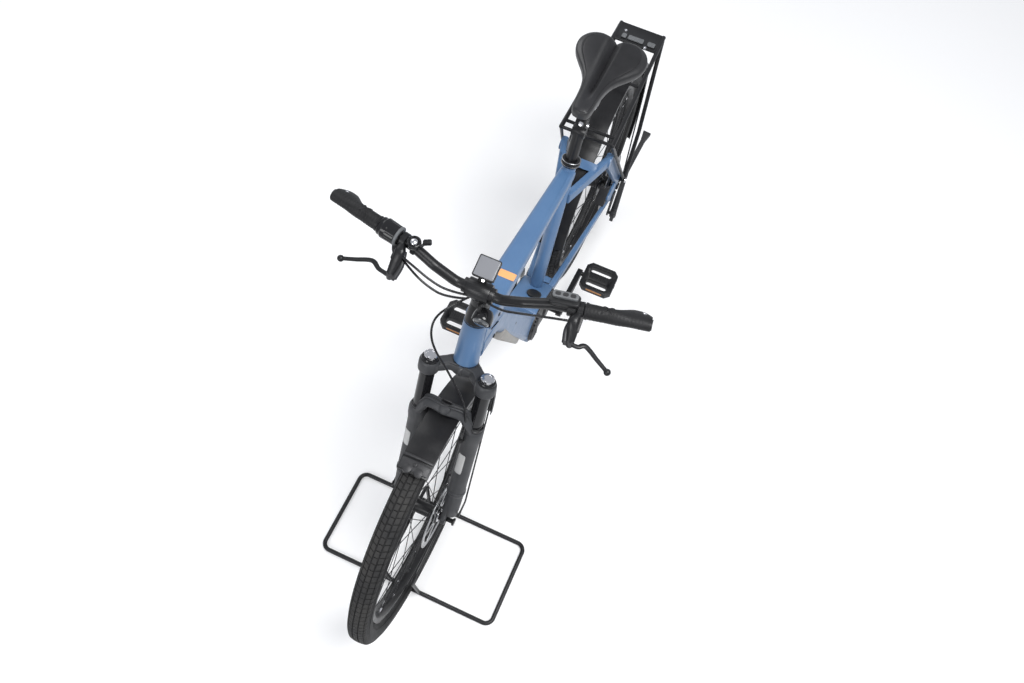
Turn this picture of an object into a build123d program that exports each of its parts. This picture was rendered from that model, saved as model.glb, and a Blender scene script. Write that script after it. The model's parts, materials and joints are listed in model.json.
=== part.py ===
from build123d import *
import os
from math import atan2, cos, degrees, pi, radians, sin, tan

os.makedirs("parts", exist_ok=True)

# Row frame: +X forward, +Y to the rider's left, +Z up, origin on the floor under
# the middle of the bicycle's outer box.  All sizes are in millimetres.

# ---- driving dimensions: wheels and layout ----
RIM_RADIUS = 297.0
TYRE_HEIGHT = 55.0
TYRE_WIDTH = 57.0
WHEELBASE = 1170.0
CHAIN_STAY_CLEAR = 93.0
BB_DROP = 46.0
SEAT_ANGLE = 73.0
HEAD_ANGLE = 67.0
FORK_OFFSET = 46.0

# ---- named clearances ----
MOVING_GAP = 5.2
SEAT_GAP = 0.3
PIVOT_PLAY = 0.05
CHAIN_PLAY = 0.6
CUT_OVER = 10.0

# ---- driving dimensions: mudguards ----
FENDER_GAP = 15.0
FENDER_WALL = 3.0
FENDER_SIDE = 7.0
FENDER_LIP = 10.0
FENDER_CROWN = 4.0
FRONT_FENDER_SPAN = (84.0, 196.0)
REAR_FENDER_SPAN = (14.0, 205.0)
FENDER_STAY_R = 2.2
FRONT_STAY_TURN = 168.0
REAR_STAY_TURN = 172.0
FENDER_TAB_WIDTH = 22.0
FENDER_TAB_THICK = 3.0
EYELET_R = 7.0

# ---- driving dimensions: fork ----
FORK_TRAVEL = 54.0
ARCH_CLEAR = 58.0
LEG_OFFSET = 43.0
LEG_SPACING = 68.0
STANCHION_R = 17.0
LOWER_R = 22.0
LOWER_FOOT = 24.0
ARCH_DROP = 50.0
ARCH_LEAN = 30.0
ARCH_WALL = 15.0
ARCH_BAR = 24.0
ARCH_BOSS_R = 13.0
SEAL_R = 24.5
SEAL_HEIGHT = 9.0
CROWN_HEIGHT = 42.0
CROWN_R = 34.0
CROWN_HOLLOW_R = 50.0
KNUCKLE_R = 25.0
CAP_R = 19.0
CAP_HEIGHT = 12.0
LUG_THICK = 12.0

# ---- driving dimensions: steering column ----
HEAD_LENGTH = 118.0
HEAD_R_LOW = 29.0
HEAD_R_TOP = 26.0
HEAD_BORE = 20.0
CUP_LENGTH = 10.0
STEERER_R = 14.3
SPACER_LENGTH = 46.0
SPACER_R_LOW = 25.5
SPACER_R_TOP = 21.0
STEM_HEIGHT = 40.0
STEM_R = 21.0
STEM_RISE = 60.7
STEM_REACH = 39.6

# ---- driving dimensions: hubs, rims and brakes ----
AXLE_R = 6.0
FRONT_HUB_HALF = 50.0
REAR_HUB_HALF = 74.0
DROPOUT_THICK = 9.0
FRONT_FLANGE_R = 29.0
FRONT_FLANGE_Y = 29.5
FRONT_SHELL_R = 16.0
REAR_FLANGE_R = 50.0
REAR_FLANGE_Y = 34.0
REAR_SHELL_R = 30.0
FLANGE_THICK = 4.0
RIM_WIDTH = 33.0
RIM_DEPTH = 20.0
RIM_WALL = 2.6
RIM_WELL = 4.0
SPOKE_R = 1.1
SPOKES = 32
SPOKE_CROSSES = 3
HUB_BOSS_R = 17.0
HUB_CAP_R = 11.0
ROTOR_R = 90.0
ROTOR_RING = 16.0
ROTOR_THICK = 1.8
ROTOR_ARMS = 6
FRONT_ROTOR_Y = 39.5
REAR_ROTOR_Y = 60.0
CALIPER_LENGTH = 58.0
CALIPER_HEIGHT = 30.0
CALIPER_WALL_IN = 4.0
CALIPER_WALL_OUT = 11.0
FRONT_CALIPER = (-86.0, 50.0)
REAR_CALIPER = (92.0, 50.0)

# ---- driving dimensions: drive ----
CRANK_LENGTH = 170.0
CRANK_TILT = 11.0
CRANK_ARM_Y = 88.0
CRANK_ARM_THICK = 15.0
CRANK_AXLE_R = 12.0
SPINDLE_R = 7.0
PEDAL_Y = 151.0
PEDAL_WIDTH = 100.0
PEDAL_LENGTH = 92.0
PEDAL_THICK = 22.0
PEDAL_CHAMFER = 14.0
CHAIN_Y = 57.0
CHAIN_PITCH_R = 81.0
COG_PITCH_R = 42.0
CHAIN_HALF_HEIGHT = 4.2
CHAIN_WIDTH = 8.0
RING_TEETH = 40
COG_TEETH = 20
RING_BORE_R = 48.0
TOOTH_THICK = 3.0
MOTOR_HALF = 48.0
MOTOR_AHEAD = 87.0
MOTOR_UP = 42.0
MOTOR_R_FRONT = 58.0
MOTOR_R_BB = 52.0
MOTOR_FIN = 6.0
SHROUD_WALL = 6.0
SHROUD_HALF = 45.0
PORT_COVER_R = 21.0
PORT_COVER_THICK = 5.0

# ---- driving dimensions: frame tubes ----
DOWN_HEAD = (40.0, -10.0)
DOWN_KNEE = (46.1, -115.5)
DOWN_KNEE_RUN = 45.0
DOWN_BEND_R = 60.0
DOWN_LOW = (112.0, 46.0)
DOWN_WIDTH_TOP = 60.0
DOWN_WIDTH_LOW = 92.0
DOWN_DEPTH_TOP = 58.0
DOWN_DEPTH_LOW = 84.0
BATTERY_WIDTH = 66.0
BATTERY_DEPTH = 34.0
BATTERY_PROUD = 17.0
TOP_HEAD = (106.3, -19.3)
TOP_OVER_STAY = 74.0
TOP_WIDTH_FRONT = 62.0
TOP_WIDTH_REAR = 42.0
TOP_DEPTH_FRONT = 46.0
TOP_DEPTH_REAR = 34.0
WEB_HALF = 28.0
SEAT_TUBE_R = 18.0
SEAT_TUBE_OVER = 42.0
POST_R = 15.4
STAY_OVER_FENDER = 12.0
STAY_START_Y = 16.0
STAY_CORNER_IN = 40.0
STAY_CORNER_TURN = 61.0
STAY_CORNER_Y = 66.0
STAY_WIDTH = 17.0
STAY_DEPTH = 30.0
STAY_BAND = 13.0
STAY_BAND_DEPTH = 38.0
STAY_FOOT_UP = 44.0
STAY_BRIDGE_TURN = 54.5
CHAIN_STAY_WIDTH = 18.0
CHAIN_STAY_DEPTH = 34.0

# ---- driving dimensions: carrier and side stand ----
RACK_LIFT = 20.0
RACK_AHEAD = 195.0
RACK_BEHIND = 240.0
RACK_HALF_FRONT = 73.0
RACK_HALF_REAR = 64.0
RACK_ROD_R = 6.0
RACK_BAR_R = 4.5
RACK_FOOT_Y = 98.0
RACK_PLATE = 66.0
KICK_AT = (45.0, 102.0, -77.0)
KICK_PIN_R = 5.0
KICK_EYE_R = 14.0
KICK_EYE_HALF = 7.0
KICK_TILT = 15.0
KICK_KNEE = (-155.0, -16.0, 25.0)
KICK_FOOT = (-140.0, 9.0, 35.0)
KICK_R = 7.5

# ---- driving dimensions: cockpit ----
BAR_HALF = 345.0
BAR_STRAIGHT = 193.0
BAR_R = 11.1
BAR_CLAMP_R = 15.9
BAR_BEND_R = 30.0
BAR_RISE = (1.0, 27.9, 47.7, 76.0)
BAR_SWEEP = (2.6, 16.2, 10.5, -10.1)
BAR_SHARES = (0.33, 0.645)
GRIP_LENGTH = 132.0
SHORT_GRIP = 117.0
GRIP_R = 16.5
GRIP_WING = 27.0
CONTROL_GAP = 1.0
SHIFTER_LENGTH = 51.0
SHIFTER_R = 21.0
LEVER_CLAMP = 13.0
LEVER_REACH = 76.0
LEVER_R = 5.0
REMOTE_SIZE = (30.0, 36.0, 13.0)
DISPLAY_SIZE = 44.0
DISPLAY_THICK = 8.0
LAMP_R = 22.0
BELL_R = 15.0
HOSE_R = 2.5
CABLE_R = 2.0

# ---- driving dimensions: saddle ----
POST_OUT = 83.7
LINK_RISE = 73.1
LINK_BACK = 37.3
SADDLE_AHEAD = 105.0
SADDLE_LENGTH = 267.0
SADDLE_WIDTH = 170.0
SADDLE_OVER = 55.0
SADDLE_THICK = 30.0
RAIL_R = 3.5
RAIL_HALF = 22.0

# ---- driving dimensions: wheel stand ----
ROD_R = 6.0
STAND_HALF = 262.0
STAND_AHEAD = 132.0
STAND_BEHIND = 112.0
STAND_CORNER = 22.0
HOOP_HEIGHT = 215.0
HOOP_FOOT_Y = 44.0
HOOP_TOP_Y = 40.0
HOOP_LEAN = 22.0
HOOP_CORNER = 30.0
HOOP_ROD_R = 5.0

# ---- sizes that follow from others ----
WHEEL_RADIUS = RIM_RADIUS + TYRE_HEIGHT
FENDER_RADIUS = WHEEL_RADIUS + FENDER_GAP
FENDER_OUTER = FENDER_RADIUS + FENDER_WALL
FENDER_HALF = TYRE_WIDTH / 2 + FENDER_SIDE
ARCH_TOP = FENDER_OUTER + ARCH_CLEAR
LOWER_TOP = ARCH_TOP - ARCH_DROP
CROWN_RACE = ARCH_TOP + FORK_TRAVEL
HEAD_TOP = CROWN_RACE + HEAD_LENGTH
STEM_LOW = HEAD_TOP + SPACER_LENGTH
STEM_TOP = STEM_LOW + STEM_HEIGHT
LEG_OUTER = LEG_SPACING + LOWER_R
FORK_END = LEG_SPACING + 14.0
BB_AHEAD = FENDER_OUTER + CHAIN_STAY_CLEAR
STAY_SEAT = FENDER_OUTER + STAY_OVER_FENDER
TOP_SEAT = STAY_SEAT + TOP_OVER_STAY
SEAT_TUBE_LENGTH = TOP_SEAT + SEAT_TUBE_OVER
REAR_END = REAR_HUB_HALF + DROPOUT_THICK
CALIPER_REACH = ROTOR_THICK / 2 + MOVING_GAP + CALIPER_WALL_OUT + SEAT_GAP

# ---- places that follow from the sizes ----
REAR_X = -(WHEELBASE + WHEEL_RADIUS - FENDER_OUTER) / 2
FRONT_AXLE = Vector(REAR_X + WHEELBASE, 0, WHEEL_RADIUS)
REAR_AXLE = Vector(REAR_X, 0, WHEEL_RADIUS)
BOTTOM_BRACKET = REAR_AXLE + Vector(BB_AHEAD, 0, -BB_DROP)
STEER_UP = Vector(-cos(radians(HEAD_ANGLE)), 0, sin(radians(HEAD_ANGLE)))
STEER_AHEAD = Vector(sin(radians(HEAD_ANGLE)), 0, cos(radians(HEAD_ANGLE)))
STEER_FOOT = FRONT_AXLE - STEER_AHEAD * FORK_OFFSET
SEAT_UP = Vector(-cos(radians(SEAT_ANGLE)), 0, sin(radians(SEAT_ANGLE)))
SEAT_AHEAD = Vector(sin(radians(SEAT_ANGLE)), 0, cos(radians(SEAT_ANGLE)))
ACROSS = Vector(0, 1, 0)


def steer(up, ahead=0.0, side=0.0):
    """A point given along the steering axis, ahead of it and to its left."""
    return STEER_FOOT + STEER_UP * up + STEER_AHEAD * ahead + ACROSS * side


def seat(up, ahead=0.0, side=0.0):
    """A point given along the seat tube from the crank axle, ahead of it and to its left."""
    return BOTTOM_BRACKET + SEAT_UP * up + SEAT_AHEAD * ahead + ACROSS * side


def rear(ahead, side, up):
    """A point measured from the rear axle."""
    return REAR_AXLE + Vector(ahead, side, up)


def cranks(ahead, side, up):
    """A point measured from the crank axle."""
    return BOTTOM_BRACKET + Vector(ahead, side, up)


def rod(start, end, radius):
    """A round bar between two points."""
    span = end - start
    return Solid.make_cylinder(radius, span.length, Plane(start, z_dir=span))


def taper(start, end, radius_start, radius_end):
    """A round bar whose radius changes evenly between two points."""
    span = end - start
    return Solid.make_cone(radius_start, radius_end, span.length, Plane(start, z_dir=span))


def bent_rod(points, bends, radius, closed=False):
    """A round bar along straight runs joined by tangent arcs."""
    path = FilletPolyline(*points, radius=bends, close=closed)
    section = Plane(path @ 0, z_dir=path % 0) * Circle(radius)
    return sweep(section, path=path)


def soft_cord(points, radius):
    """A cord along its runs, each corner an arc as large as the two runs allow."""
    radii = []
    for before, at, after in zip(points, points[1:], points[2:]):
        first = at - before
        second = after - at
        half_turn = radians(first.get_angle(second)) / 2
        radii.append(0.45 * min(first.length, second.length) / tan(half_turn))
    print("cord radius", radius, "bend radii", [round(bend) for bend in radii])
    return bent_rod(points, radii, radius)


def box_tube(start, end, wide_start, deep_start, wide_end, deep_end, corner, across=ACROSS):
    """A rounded box section that changes evenly from one end to the other."""
    axis = end - start
    first = Plane(start, x_dir=across, z_dir=axis) * RectangleRounded(wide_start, deep_start, corner)
    last = Plane(end, x_dir=across, z_dir=axis) * RectangleRounded(wide_end, deep_end, corner)
    return loft([first, last])


def flat_tube(start, end, wide, deep, corner):
    """A rounded box section that stays the same from one end to the other."""
    span = end - start
    section = Plane(start, x_dir=ACROSS, z_dir=span) * RectangleRounded(wide, deep, corner)
    return extrude(section, amount=span.length)


def mirrored(shape):
    """The same shape on the other side of the bicycle's middle plane."""
    return mirror(shape, about=Plane.XZ)


def join(*shapes):
    """Several touching shapes fused into one."""
    result = shapes[0]
    for extra in shapes[1:]:
        result = result + extra
    return result


def group(*shapes):
    """Several separate solids kept in one node."""
    kept = []
    for shape in shapes:
        kept += list(shape.solids())
    return Compound(children=kept)


def side_plate(outline, y_from, y_to):
    """A flat outline drawn in the middle plane and extruded across the bicycle."""
    low = min(y_from, y_to)
    plate = extrude(Plane.XZ * outline, amount=-abs(y_to - y_from))
    return plate.moved(Location((0, low, 0)))


def round_hull(*spots):
    """Outline pulled tight round circles, each given as a point and a radius."""
    edges = []
    for at, radius in spots:
        edges += list((Pos(at.X, at.Z) * Circle(radius)).edges())
    return make_hull(edges)


def disc(centre, radius, y_from, y_to):
    """A flat round disc square to the wheel axis."""
    return rod(Vector(centre.X, y_from, centre.Z), Vector(centre.X, y_to, centre.Z), radius)


def save(name, shape):
    """One sub-part to its own file."""
    export_step(shape, os.path.join("parts", name + ".step"))


# ---- wheels ----
def turned(profile, axle):
    """A profile of half widths and radii turned about an axle."""
    other = [(-x, z) for x, z in reversed(profile)]
    face = Plane.XZ * make_face(Polyline(*profile, *other, close=True))
    ring = revolve(face, axis=Axis.X)
    return ring.rotate(Axis.Z, 90).moved(Location(axle))


def tyre(axle):
    """Tyre: beads in the rim's well, walls that swell and a flat tread."""
    half = TYRE_WIDTH / 2
    wall = [
        (RIM_WIDTH / 2 - RIM_WALL - 1.5, RIM_RADIUS - RIM_WELL),
        (half, RIM_RADIUS + TYRE_HEIGHT * 0.50),
        (half * 0.90, RIM_RADIUS + TYRE_HEIGHT * 0.80),
        (half * 0.52, WHEEL_RADIUS),
    ]
    return turned(wall, axle)


def rim(axle):
    """Rim: a box under the well with a wall on each side of the beads."""
    half = RIM_WIDTH / 2
    profile = [
        (half * 0.45, RIM_RADIUS - RIM_DEPTH),
        (half, RIM_RADIUS - RIM_DEPTH * 0.62),
        (half, RIM_RADIUS - 1),
        (half - RIM_WALL, RIM_RADIUS - 1),
        (half - RIM_WALL, RIM_RADIUS - RIM_WELL),
    ]
    return turned(profile, axle)


def laced_wheel(axle, flange_r, flange_y, shell_r, hub_half):
    """Rim and hub joined by spokes, each crossing three others on its way to the rim."""
    shell = disc(axle, shell_r, -flange_y - 6, flange_y + 6)
    boss = disc(axle, HUB_BOSS_R, -hub_half + 4, hub_half - 4)
    cap = disc(axle, HUB_CAP_R, -hub_half, hub_half)
    wheel = join(rim(axle), shell, boss, cap)
    for side in (1, -1):
        wheel = wheel + disc(axle, flange_r, side * flange_y, side * (flange_y - FLANGE_THICK))
    spokes = []
    seat_r = RIM_RADIUS - RIM_DEPTH + 4
    hole_r = flange_r - 4
    cross = SPOKE_CROSSES * 720 / SPOKES
    for index in range(SPOKES):
        side = 1 if index % 2 == 0 else -1
        lean = cross if index % 4 < 2 else -cross
        outer = radians(360 / SPOKES * index)
        inner = outer + radians(lean)
        hub_end = Vector(hole_r * cos(inner), side * (flange_y - FLANGE_THICK / 2), hole_r * sin(inner))
        rim_end = Vector(seat_r * cos(outer), side * 4.0, seat_r * sin(outer))
        spokes.append(rod(axle + hub_end, axle + rim_end, SPOKE_R))
    wheel = wheel.fuse(*spokes)
    return wheel - disc(axle, AXLE_R + PIVOT_PLAY, -hub_half - CUT_OVER, hub_half + CUT_OVER)


def brake_rotor(axle, y):
    """Brake disc: a slotted ring on six leaning arms, on the hub's side face."""
    low = y - ROTOR_THICK / 2
    high = y + ROTOR_THICK / 2
    inner_r = ROTOR_R - ROTOR_RING
    ring = disc(axle, ROTOR_R, low, high) - disc(axle, inner_r, low - 1, high + 1)
    centre_r = HUB_BOSS_R + 11
    centre = disc(axle, centre_r, low, high)
    arms = []
    slots = []
    for index in range(ROTOR_ARMS):
        turn = 2 * pi * index / ROTOR_ARMS
        lean = turn + radians(24)
        start = axle + Vector((centre_r - 6) * cos(turn), y, (centre_r - 6) * sin(turn))
        end = axle + Vector((inner_r + 6) * cos(lean), y, (inner_r + 6) * sin(lean))
        span = end - start
        arm = Box(span.length, ROTOR_THICK, 8)
        tilt = -degrees(atan2(span.Z, span.X))
        arms.append(arm.rotate(Axis.Y, tilt).moved(Location((start + end) * 0.5)))
        for share in (0.25, 0.75):
            at = 2 * pi * (index + share) / ROTOR_ARMS
            middle = axle + Vector((inner_r + 8) * cos(at), y, (inner_r + 8) * sin(at))
            slots.append(disc(middle, 3, low - 1, high + 1))
    plate = join(ring, centre, *arms)
    return plate.cut(*slots, disc(axle, HUB_BOSS_R, low - 1, high + 1))


# ---- drive ----
def chain_loop(clearance, width):
    """Hull round the chainring and the rear cog at a distance from their pitch circles."""
    outline = round_hull((BOTTOM_BRACKET, CHAIN_PITCH_R + clearance), (REAR_AXLE, COG_PITCH_R + clearance))
    return side_plate(outline, -CHAIN_Y - width / 2, -CHAIN_Y + width / 2)


def chain():
    """Chain as one closed loop with room inside for the teeth."""
    return chain_loop(CHAIN_HALF_HEIGHT, CHAIN_WIDTH) - chain_loop(-CHAIN_HALF_HEIGHT, CHAIN_WIDTH + CUT_OVER)


def toothed_ring(centre, pitch_r, teeth, bore_r):
    """Toothed ring whose tips run just inside the chain loop."""
    tip = pitch_r - CHAIN_HALF_HEIGHT - CHAIN_PLAY
    low = -CHAIN_Y - TOOTH_THICK / 2
    high = -CHAIN_Y + TOOTH_THICK / 2
    ring = disc(centre, tip, low, high)
    cuts = [disc(centre, bore_r, low - 1, high + 1)]
    for index in range(teeth):
        turn = 2 * pi * index / teeth
        at = centre + Vector((tip + 1.5) * cos(turn), 0, (tip + 1.5) * sin(turn))
        cuts.append(disc(at, pi * tip / teeth * 0.55, low - 1, high + 1))
    return ring.cut(*cuts)


def crank_tip(side):
    """Where a crank arm ends: the right arm points ahead, the left one back."""
    reach = -side * CRANK_LENGTH
    return cranks(reach * cos(radians(CRANK_TILT)), 0, reach * sin(radians(CRANK_TILT)))


def crank_arm(side):
    """One tapered crank arm with a long recess in its outer face and its pedal spindle."""
    tip = crank_tip(side)
    inner = side * (CRANK_ARM_Y - CRANK_ARM_THICK / 2)
    outer = side * (CRANK_ARM_Y + CRANK_ARM_THICK / 2)
    arm = side_plate(round_hull((BOTTOM_BRACKET, 17), (tip, 12)), inner, outer)
    along = (tip - BOTTOM_BRACKET).normalized()
    groove = round_hull((BOTTOM_BRACKET + along * 36, 7), (tip - along * 32, 5))
    arm = arm - side_plate(groove, outer - side * 2.5, outer + side * 2)
    bolt = disc(BOTTOM_BRACKET, 9, outer - side * 3, outer + side * 2)
    spindle = disc(tip, SPINDLE_R, inner, side * (PEDAL_Y + PEDAL_WIDTH / 2 - 6))
    return join(arm, bolt, spindle)


def crank_set():
    """Axle through the motor, both arms and the four-armed spider of the chainring."""
    axle = disc(BOTTOM_BRACKET, CRANK_AXLE_R, -CRANK_ARM_Y, CRANK_ARM_Y)
    arm_face = -CRANK_ARM_Y + CRANK_ARM_THICK / 2
    face = -CHAIN_Y - TOOTH_THICK / 2 - 1
    spider = disc(BOTTOM_BRACKET, 30, arm_face - 1, face - 1.5)
    legs = []
    for index in range(4):
        turn = radians(90 * index + 45)
        start = cranks(0, face - 3, 0)
        end = start + Vector(cos(turn), 0, sin(turn)) * (RING_BORE_R + 10)
        legs.append(rod(start, end, 4))
    hub = disc(BOTTOM_BRACKET, 22, -CHAIN_Y - 12, -MOTOR_HALF - MOVING_GAP)
    return join(axle, crank_arm(1), crank_arm(-1), spider, hub, *legs)


def pedal(side):
    """Flat platform pedal with two slots, chamfered corners and hollow ends, bored for its spindle."""
    tip = crank_tip(side)
    long = PEDAL_LENGTH / 2
    wide = PEDAL_WIDTH / 2
    plan = Polygon(
        (-long, PEDAL_CHAMFER - wide),
        (PEDAL_CHAMFER - long, -wide),
        (long - PEDAL_CHAMFER, -wide),
        (long, PEDAL_CHAMFER - wide),
        (long, wide - PEDAL_CHAMFER),
        (long - PEDAL_CHAMFER, wide),
        (PEDAL_CHAMFER - long, wide),
        (-long, wide - PEDAL_CHAMFER),
    )
    slot = RectangleRounded(long * 0.46, PEDAL_WIDTH - 34, 8)
    plan = plan - Pos(long * 0.52, 0) * slot - Pos(-long * 0.52, 0) * slot
    body = extrude(plan, amount=PEDAL_THICK / 2, both=True)
    for end in (1, -1):
        recess = Box(5, PEDAL_WIDTH * 0.52, PEDAL_THICK * 0.5)
        body = body - recess.moved(Location((end * long, 0, 0)))
    body = body.moved(Location((tip.X, side * PEDAL_Y, tip.Z)))
    return body - disc(tip, SPINDLE_R + PIVOT_PLAY, side * (PEDAL_Y - PEDAL_WIDTH), side * (PEDAL_Y + PEDAL_WIDTH))


def motor_outline(grow):
    """Side outline of the drive unit, round the crank axle and the motor in front of it."""
    front = cranks(MOTOR_AHEAD, 0, MOTOR_UP)
    return round_hull((BOTTOM_BRACKET, MOTOR_R_BB + grow), (front, MOTOR_R_FRONT + grow))


def motor_unit():
    """Drive unit with cooling fins on its left cover and a boss round the crank axle."""
    body = side_plate(motor_outline(0), -MOTOR_HALF, MOTOR_HALF)
    front = cranks(MOTOR_AHEAD, 0, MOTOR_UP)
    fin_field = side_plate(round_hull((front, MOTOR_R_FRONT - 4)), MOTOR_HALF, MOTOR_HALF + MOTOR_FIN)
    fins = []
    for index in range(6):
        fin = Box(4, MOTOR_FIN * 2, 2 * MOTOR_R_FRONT)
        at = front + Vector(4 + index * 9, MOTOR_HALF + MOTOR_FIN / 2, 0)
        fins.append((fin.moved(Location(at)) & fin_field).solids()[0])
    boss = disc(BOTTOM_BRACKET, 34, MOTOR_HALF, MOTOR_HALF + MOTOR_FIN)
    whole = join(body, boss, *fins)
    return whole - disc(BOTTOM_BRACKET, CRANK_AXLE_R + PIVOT_PLAY, -MOTOR_HALF * 2, MOTOR_HALF * 2)


def motor_shroud():
    """Painted cradle over the top and back of the drive unit."""
    outer = side_plate(motor_outline(SHROUD_WALL), -SHROUD_HALF, SHROUD_HALF)
    inner = side_plate(motor_outline(0), -MOTOR_HALF, MOTOR_HALF)
    depth = 3 * MOTOR_R_FRONT
    lower = Box(8 * MOTOR_R_FRONT, 4 * MOTOR_HALF, depth).moved(Location(cranks(MOTOR_AHEAD, 0, -depth / 2)))
    return outer - inner - lower


def shroud_blank(half):
    """The cradle's outside, for what ends on it."""
    return side_plate(motor_outline(SHROUD_WALL), -half, half)


def charge_port():
    """Round cover of the charging socket, on the cradle's top ahead of the seat tube."""
    rise = atan2(MOTOR_UP, MOTOR_AHEAD)
    span = (MOTOR_AHEAD**2 + MOTOR_UP**2) ** 0.5
    slope = rise + (MOTOR_R_FRONT - MOTOR_R_BB) / span
    up = Vector(-sin(slope), 0, cos(slope))
    at = cranks(0, 0, 0) + up * (MOTOR_R_BB + SHROUD_WALL) + Vector(cos(slope), 0, sin(slope)) * span * 0.72
    base = rod(at, at + up * PORT_COVER_THICK, PORT_COVER_R)
    cap = taper(at + up * PORT_COVER_THICK, at + up * (PORT_COVER_THICK + 2), PORT_COVER_R, PORT_COVER_R - 4)
    return join(base, cap).moved(Location((0, SHROUD_HALF * 0.25, 0)))


# ---- frame ----
def head_blank():
    """The head tube's outside, grown at both ends, for the tubes that end on it."""
    slope = (HEAD_R_LOW - HEAD_R_TOP) / HEAD_LENGTH
    grow = 40.0
    low = steer(CROWN_RACE - grow)
    top = steer(HEAD_TOP + grow)
    return taper(low, top, HEAD_R_LOW + slope * grow, HEAD_R_TOP - slope * grow)


def head_tube(tubes):
    """Tapered head tube with a bearing seat at each end and the web between the tubes."""
    tube = taper(steer(CROWN_RACE), steer(HEAD_TOP), HEAD_R_LOW, HEAD_R_TOP)
    outline = round_hull(
        (steer(CROWN_RACE + 46, -14), 12),
        (steer(HEAD_TOP - 26, -14), 12),
        (steer(CROWN_RACE + 66, -98), 16),
        (steer(CROWN_RACE + 96, -96), 14),
    )
    web = side_plate(outline, -WEB_HALF, WEB_HALF)
    for other in tubes:
        web = web - other
    web = max(web.solids(), key=lambda part: part.volume)
    bore = rod(steer(CROWN_RACE + CUP_LENGTH), steer(HEAD_TOP - CUP_LENGTH), HEAD_BORE)
    journal = rod(steer(CROWN_RACE - 5), steer(HEAD_TOP + 5), STEERER_R + PIVOT_PLAY)
    return join(tube, web) - bore - journal


def down_line():
    """The down tube's centre line: the head, the knee, a little below it and the foot."""
    head = steer(CROWN_RACE + DOWN_HEAD[0], DOWN_HEAD[1])
    knee = steer(CROWN_RACE + DOWN_KNEE[0], DOWN_KNEE[1])
    foot = cranks(DOWN_LOW[0], 0, DOWN_LOW[1])
    below = knee + (foot - knee).normalized() * DOWN_KNEE_RUN
    return head, knee, below, foot


def battery_case(grow):
    """Battery housing along the down tube's underside, or the hollow that takes it."""
    head, knee, below, foot = down_line()
    along = (foot - below).normalized()
    under = Vector(-along.Z, 0, along.X)
    length = (foot - below).length
    start = below + along * (0.10 * length - grow)
    end = below + along * (0.80 * length + grow)
    slope = (DOWN_DEPTH_LOW - DOWN_DEPTH_TOP) / 2 / length
    lift = DOWN_DEPTH_TOP / 2 + BATTERY_PROUD - BATTERY_DEPTH / 2
    start = start + under * (lift + slope * 0.10 * length)
    end = end + under * (lift + slope * 0.80 * length)
    return flat_tube(start, end, BATTERY_WIDTH + 2 * grow, BATTERY_DEPTH + 2 * grow, 8)


def down_tube():
    """Down tube: level from the head tube, a knee, then wide and steep to the cradle."""
    head, knee, below, foot = down_line()
    path = FilletPolyline(head, knee, below, radius=DOWN_BEND_R)
    section = RectangleRounded(DOWN_WIDTH_TOP, DOWN_DEPTH_TOP, 14)
    bend = sweep(Plane(path @ 0, x_dir=ACROSS, z_dir=path % 0) * section, path=path)
    steep = box_tube(below, foot, DOWN_WIDTH_TOP, DOWN_DEPTH_TOP, DOWN_WIDTH_LOW, DOWN_DEPTH_LOW, 14)
    tube = join(bend, steep)
    return tube - shroud_blank(SHROUD_HALF + 5) - head_blank() - battery_case(SEAT_GAP)


def top_tube():
    """Flat-topped top tube from the head tube to the seat tube."""
    front = steer(CROWN_RACE + TOP_HEAD[0], TOP_HEAD[1])
    back = seat(TOP_SEAT)
    tube = box_tube(back, front, TOP_WIDTH_REAR, TOP_DEPTH_REAR, TOP_WIDTH_FRONT, TOP_DEPTH_FRONT, 12)
    turning = rod(steer(HEAD_TOP), steer(STEM_TOP), SPACER_R_LOW + MOVING_GAP)
    return tube - head_blank() - turning - seat_blank()


def seat_blank():
    """The seat tube's outside, for the tubes that end on it."""
    return rod(seat(60), seat(SEAT_TUBE_LENGTH + 60), SEAT_TUBE_R)


def seat_tube():
    """Seat tube from the motor's cradle to the clamp, bored for the post."""
    tube = rod(seat(20), seat(SEAT_TUBE_LENGTH), SEAT_TUBE_R)
    bore = rod(seat(150), seat(SEAT_TUBE_LENGTH + CUT_OVER), POST_R)
    return tube - bore - shroud_blank(SHROUD_HALF)


def stay_corner():
    """Where the left upper stay turns down beside the rear mudguard."""
    turn = radians(STAY_CORNER_TURN)
    reach = FENDER_OUTER - STAY_CORNER_IN
    return rear(reach * cos(turn), STAY_CORNER_Y, reach * sin(turn))


def seat_stays():
    """Both upper stays: out from the seat tube, round a corner and down as a wide band."""
    start = seat(STAY_SEAT, 0, STAY_START_Y)
    corner = stay_corner()
    end = rear(8, REAR_END - STAY_BAND / 2 + 4, STAY_FOOT_UP)
    down = (end - corner).normalized()
    upper = flat_tube(start, corner, STAY_WIDTH, STAY_DEPTH, 2)
    lower = flat_tube(corner - down * 10, end, STAY_BAND, STAY_BAND_DEPTH, 2)
    knuckle = disc(corner, STAY_BAND_DEPTH / 2, STAY_CORNER_Y - STAY_WIDTH / 2, STAY_CORNER_Y + STAY_WIDTH / 2)
    one = join(upper, knuckle, lower)
    reach = FENDER_OUTER + MOVING_GAP + 12
    turn = radians(STAY_BRIDGE_TURN)
    bridge = Box(24, 2 * STAY_CORNER_Y - 30, 14).rotate(Axis.Y, 90 - STAY_BRIDGE_TURN)
    bridge = bridge.moved(Location(rear(reach * cos(turn), 0, reach * sin(turn))))
    return join(one, mirrored(one), bridge) - seat_blank()


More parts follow.
